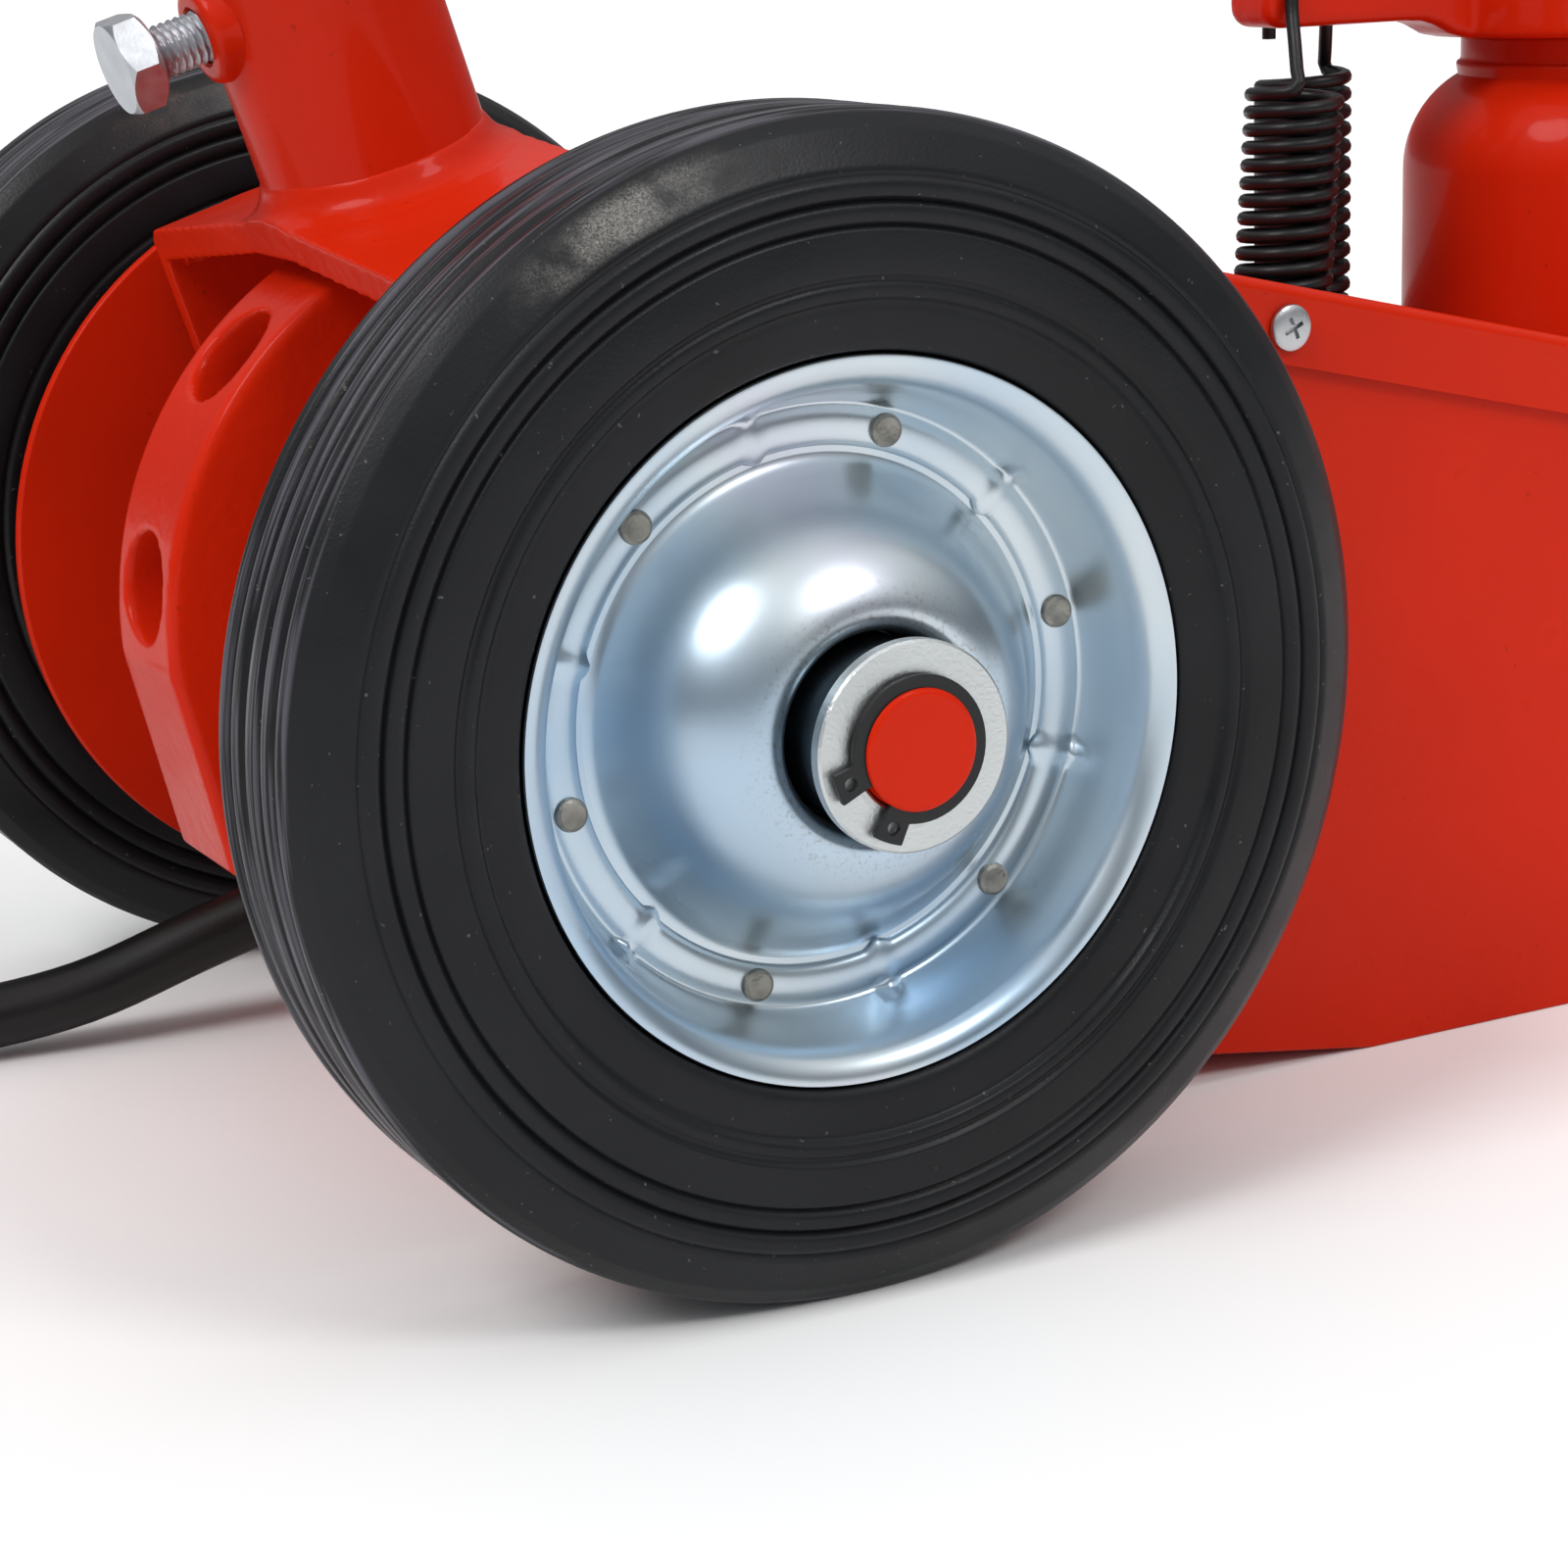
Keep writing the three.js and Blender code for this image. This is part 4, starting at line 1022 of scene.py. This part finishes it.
# ------------------------------------------------------------------ index quadrant, handle and pin
def add_quadrant():
    band = upright([*arc(0, 0, QUADRANT_R, 84, 184, 64), (-67.3, -44.3), (-56, -54), (-50, -30),
                    *arc(0, 0, QUADRANT_R - 18, 200, 84, 48)], -16, 16)
    rounded = worked(band, bevel=2.6, bevel_angle=50)
    web = upright([*arc(0, 0, QUADRANT_R - 14, 88, 190, 32), (-58, -46), (-20, -52), (49.5, -46),
                   (49.5, 30)], -6, 6)
    boss = lathe([(0, -22), (18, -22), (19, -21), (19, 21), (18, 22), (0, 22)], 72)
    holes = [rod((0, -40, 0), (0, 40, 0), AXLE_R + GAP, 64)]
    bore = lathe([(0, 42), (10.4, 42), (10.4, 74.9), (10.9, 76), (11.8, 77), (11.8, 90), (0, 90)], 48)
    for detent in DETENTS_DEG:
        turn = Matrix.Rotation(-TILT - radians(detent), 4, "Y")
        holes.append(moved(shifted(bore, TUBE_X, 0, 0), turn))
    casting = worked(rounded, add=(web, moved(boss, OUT_FAR)), cut=holes, voxel=0.7, smooth=3)
    piece("quadrant_casting", moved(casting, Matrix.Translation(AXLE)), "cast_paint", "chassis",
          ["index_quadrant"], sharp=60)


def yoke_roof(y):
    """Height of the yoke's top above the axle: flat in the middle, with a gentle slope to each side."""
    return YOKE_TOP - 1 - 6.6 * min(1, max(0, (abs(y) - 10) / 62))


def add_yoke():
    half = 75
    low = 78.8
    ridge = YOKE_TOP - 1
    thick = 6.5
    arm = 5
    section = [
        (-half, -60), (-half, low - 3), (3 - half, low), (-10, ridge), (10, ridge), (half - 3, low),
        (half, low - 3), (half, -60), (half - arm, -60), (half - arm, low - thick), (10, ridge - thick),
        (-10, ridge - thick), (arm - half, low - thick), (arm - half, -60),
    ]
    reach = 25.5
    folded = moved(slab(section, TUBE_X - reach, TUBE_X + reach), SECTION_ALONG_X)
    side = upright([(TUBE_X + reach, 100), (TUBE_X - reach, 100), *arc(TUBE_X, 0, reach, 180, 360, 32)],
                   -90, 90)
    holes = [rod((0, -90, 0), (0, 90, 0), AXLE_R + GAP, 64),
             rod((TUBE_X, 0, 60), (TUBE_X, 0, 100), PIN_R + 0.6, 48)]
    fillet = [(20, -4), (27.6, -4), (26.9, 0.4), (25.6, 0.9), (24.4, 1.7), (23.4, 3), (22.7, 4.6),
              (22.1, 6), (20, 6)]

    def on_roof(angle, radius, height):
        return radius, height + yoke_roof(radius * sin(angle))

    skirt = shifted(lathe(fillet, 96, on_roof), TUBE_X, 0, 0)
    yoke = worked(folded, add=(skirt,), cut=holes, keep=(side,), voxel=0.6, smooth=3)
    piece("yoke_plate", moved(yoke, HANDLE), "cast_paint", "handle", ["yoke"], sharp=60)


def add_welds():
    """A bead in each corner between the yoke's top and its arms."""
    reach = 22
    steps = 30
    for side, name in SIDES:
        edge = [Vector((TUBE_X - reach + 2 * reach * i / steps, side * 69.4, 72.2)) for i in range(steps + 1)]
        weld = moved(bead(edge, 2.4, 0.16, 2.0 + side), HANDLE)
        piece(f"weld_arm_{name}", weld, "cast_paint", "handle", sharp=80)


def add_socket():
    foot = YOKE_TOP - 0.7
    tube = lathe([(TUBE_IN_R, foot), (TUBE_R, foot), (TUBE_R, 248.8), (21.4, 249.7), (20.6, 250), (19, 250),
                  (TUBE_IN_R, 249.6)], 120)
    bolt_line = Matrix.Translation((0, 0, BOSS_Z)) @ Matrix.Rotation(-pi / 2, 4, "Y")
    hole = moved(lathe([(0, 8), (5.2, 8), (5.2, 40), (0, 40)], 48), bolt_line)
    slot = box((8, -5, 142), (30, 5, 176))
    tube = worked(tube, cut=(hole, slot), bevel=0.5, bevel_angle=50)
    boss = lathe([(5.2, 19.6), (10.3, 19.6), (9.9, 20.6), (9.6, 21.6), (9.4, 22.6), (9.2, 23.4), (8.8, 24.1),
                  (8.2, 24.45), (7.4, 24.6), (5.8, 24.6), (5.2, 24.2)], 72)
    shape = together(tube, moved(boss, bolt_line))
    piece("socket_pipe", moved(shape, SOCKET), "red_paint", "handle", ["socket_tube"])
    inward = Matrix.Translation((0, 0, 35.6)) @ Matrix.Rotation(pi, 4, "X")
    thread = moved(threaded(5, 0.85, 1.5, 18, 40), inward)
    head = moved(hex_prism(19.2, 35.1, 41.5, 1.2), Matrix.Rotation(radians(28), 4, "Z"))
    seat = lathe([(0, 34.6), (7.8, 34.6), (8, 34.8), (8, 35.3), (0, 35.3)], 48)
    bolt = moved(together(thread, head, seat), SOCKET @ bolt_line)
    piece("clamp_screw", bolt, "bolt_zinc", "handle", ["clamp_bolt"], sharp=28)


def add_handle_bar():
    stem = lathe([(BAR_IN_R, 182), (16.6, 182), (BAR_R, 182.5), (BAR_R, BAR_TOP), (BAR_IN_R, BAR_TOP)], 96)
    cross = rod((0, -CROSS_HALF, BAR_TOP), (0, CROSS_HALF, BAR_TOP), CROSS_R, 72)
    bore = rod((0, -CROSS_HALF - 5, BAR_TOP), (0, CROSS_HALF + 5, BAR_TOP), CROSS_R - 3, 48)
    bar = worked(stem, add=(cross,), cut=(bore,))
    piece("handle_tube", moved(bar, SOCKET), "red_paint", "handle", ["handle_bar"])


def add_cross_weld():
    """A bead where the upright bar meets the cross bar from below."""
    round_bar = BAR_R - 0.6
    round_cross = CROSS_R + 0.2
    steps = 96
    joint = []
    for i in range(steps + 1):
        angle = 2 * pi * i / steps
        x = round_bar * cos(angle)
        drop = sqrt(round_cross**2 - min(round_cross, abs(x)) ** 2)
        reach = copysign(min(round_cross + 0.2, abs(x)), x)
        joint.append(Vector((reach, round_bar * sin(angle), BAR_TOP - drop)))
    piece("weld_cross_bar", moved(bead(joint, 2.0, 0.1, 4.0), SOCKET), "cast_paint", "handle", sharp=80)


def add_grips():
    ribs = []
    for i in range(18):
        at = 74 + i * 5.2
        ribs += [(15.2, at), (15.9, at + 0.9), (15.9, at + 2.6), (15.2, at + 3.5)]
    sleeve = lathe([(12.3, 60), (15, 60.4), (16.8, 62), (17, 64), (16.8, 66.4), (15.4, 69), *ribs,
                    (15.4, 169), (16.6, 172), (16.8, 175), (16.2, 178), (14, 179.5), (0, 179.5),
                    (0, 175.3), (12.3, 175.3)], 96)
    for side, name in SIDES:
        place = SOCKET @ Matrix.Translation((0, 0, BAR_TOP)) @ facing(side)
        piece(f"grip_sleeve_{name}", moved(sleeve, place), "grip_rubber", "handle", [f"grip_{name}"])


def add_index_pin():
    shaft = lathe([(0, 78), (6.4, 78), (PIN_R, 80.4), (PIN_R, 171), (7, 172), (0, 172)], 72)
    forward = Matrix.Translation((0, 0, PIN_KNOB_Z)) @ ALONG_X
    peg = moved(lathe([(0, 4), (3.8, 4), (3.8, 36), (0, 36)], 32), forward)
    knob = moved(lathe([(0, 30.6), (4.4, 30.8), (5.2, 31.4), (7.4, 33.4), (8.8, 36.6), (9, 40), (8.4, 43.6),
                        (6.6, 46.6), (3.6, 48.6), (0, 49)], 64), forward)
    piece("pin_shaft", moved(together(shaft, peg), SOCKET), "pin_steel", "index_pin", ["index_pin"])
    piece("pin_knob", moved(knob, SOCKET), "knob_plastic", "index_pin")


# ------------------------------------------------------------------ the whole jack
add_camera()
add_floor()
add_studio()
add_gland()
add_hose()
for wheel_side, wheel_name in SIDES:
    add_wheel(wheel_side, wheel_name)
    add_retainers(wheel_side, wheel_name)
add_axle()
add_plates()
add_lid()
add_lid_screws()
add_springs()
add_cylinder()
add_ram()
add_saddle()
add_release_knob()
add_quadrant()
add_yoke()
add_welds()
add_socket()
add_handle_bar()
add_cross_weld()
add_grips()
add_index_pin()
dress("pump_block", "pump_iron")
dress("air_motor", "motor_alloy")
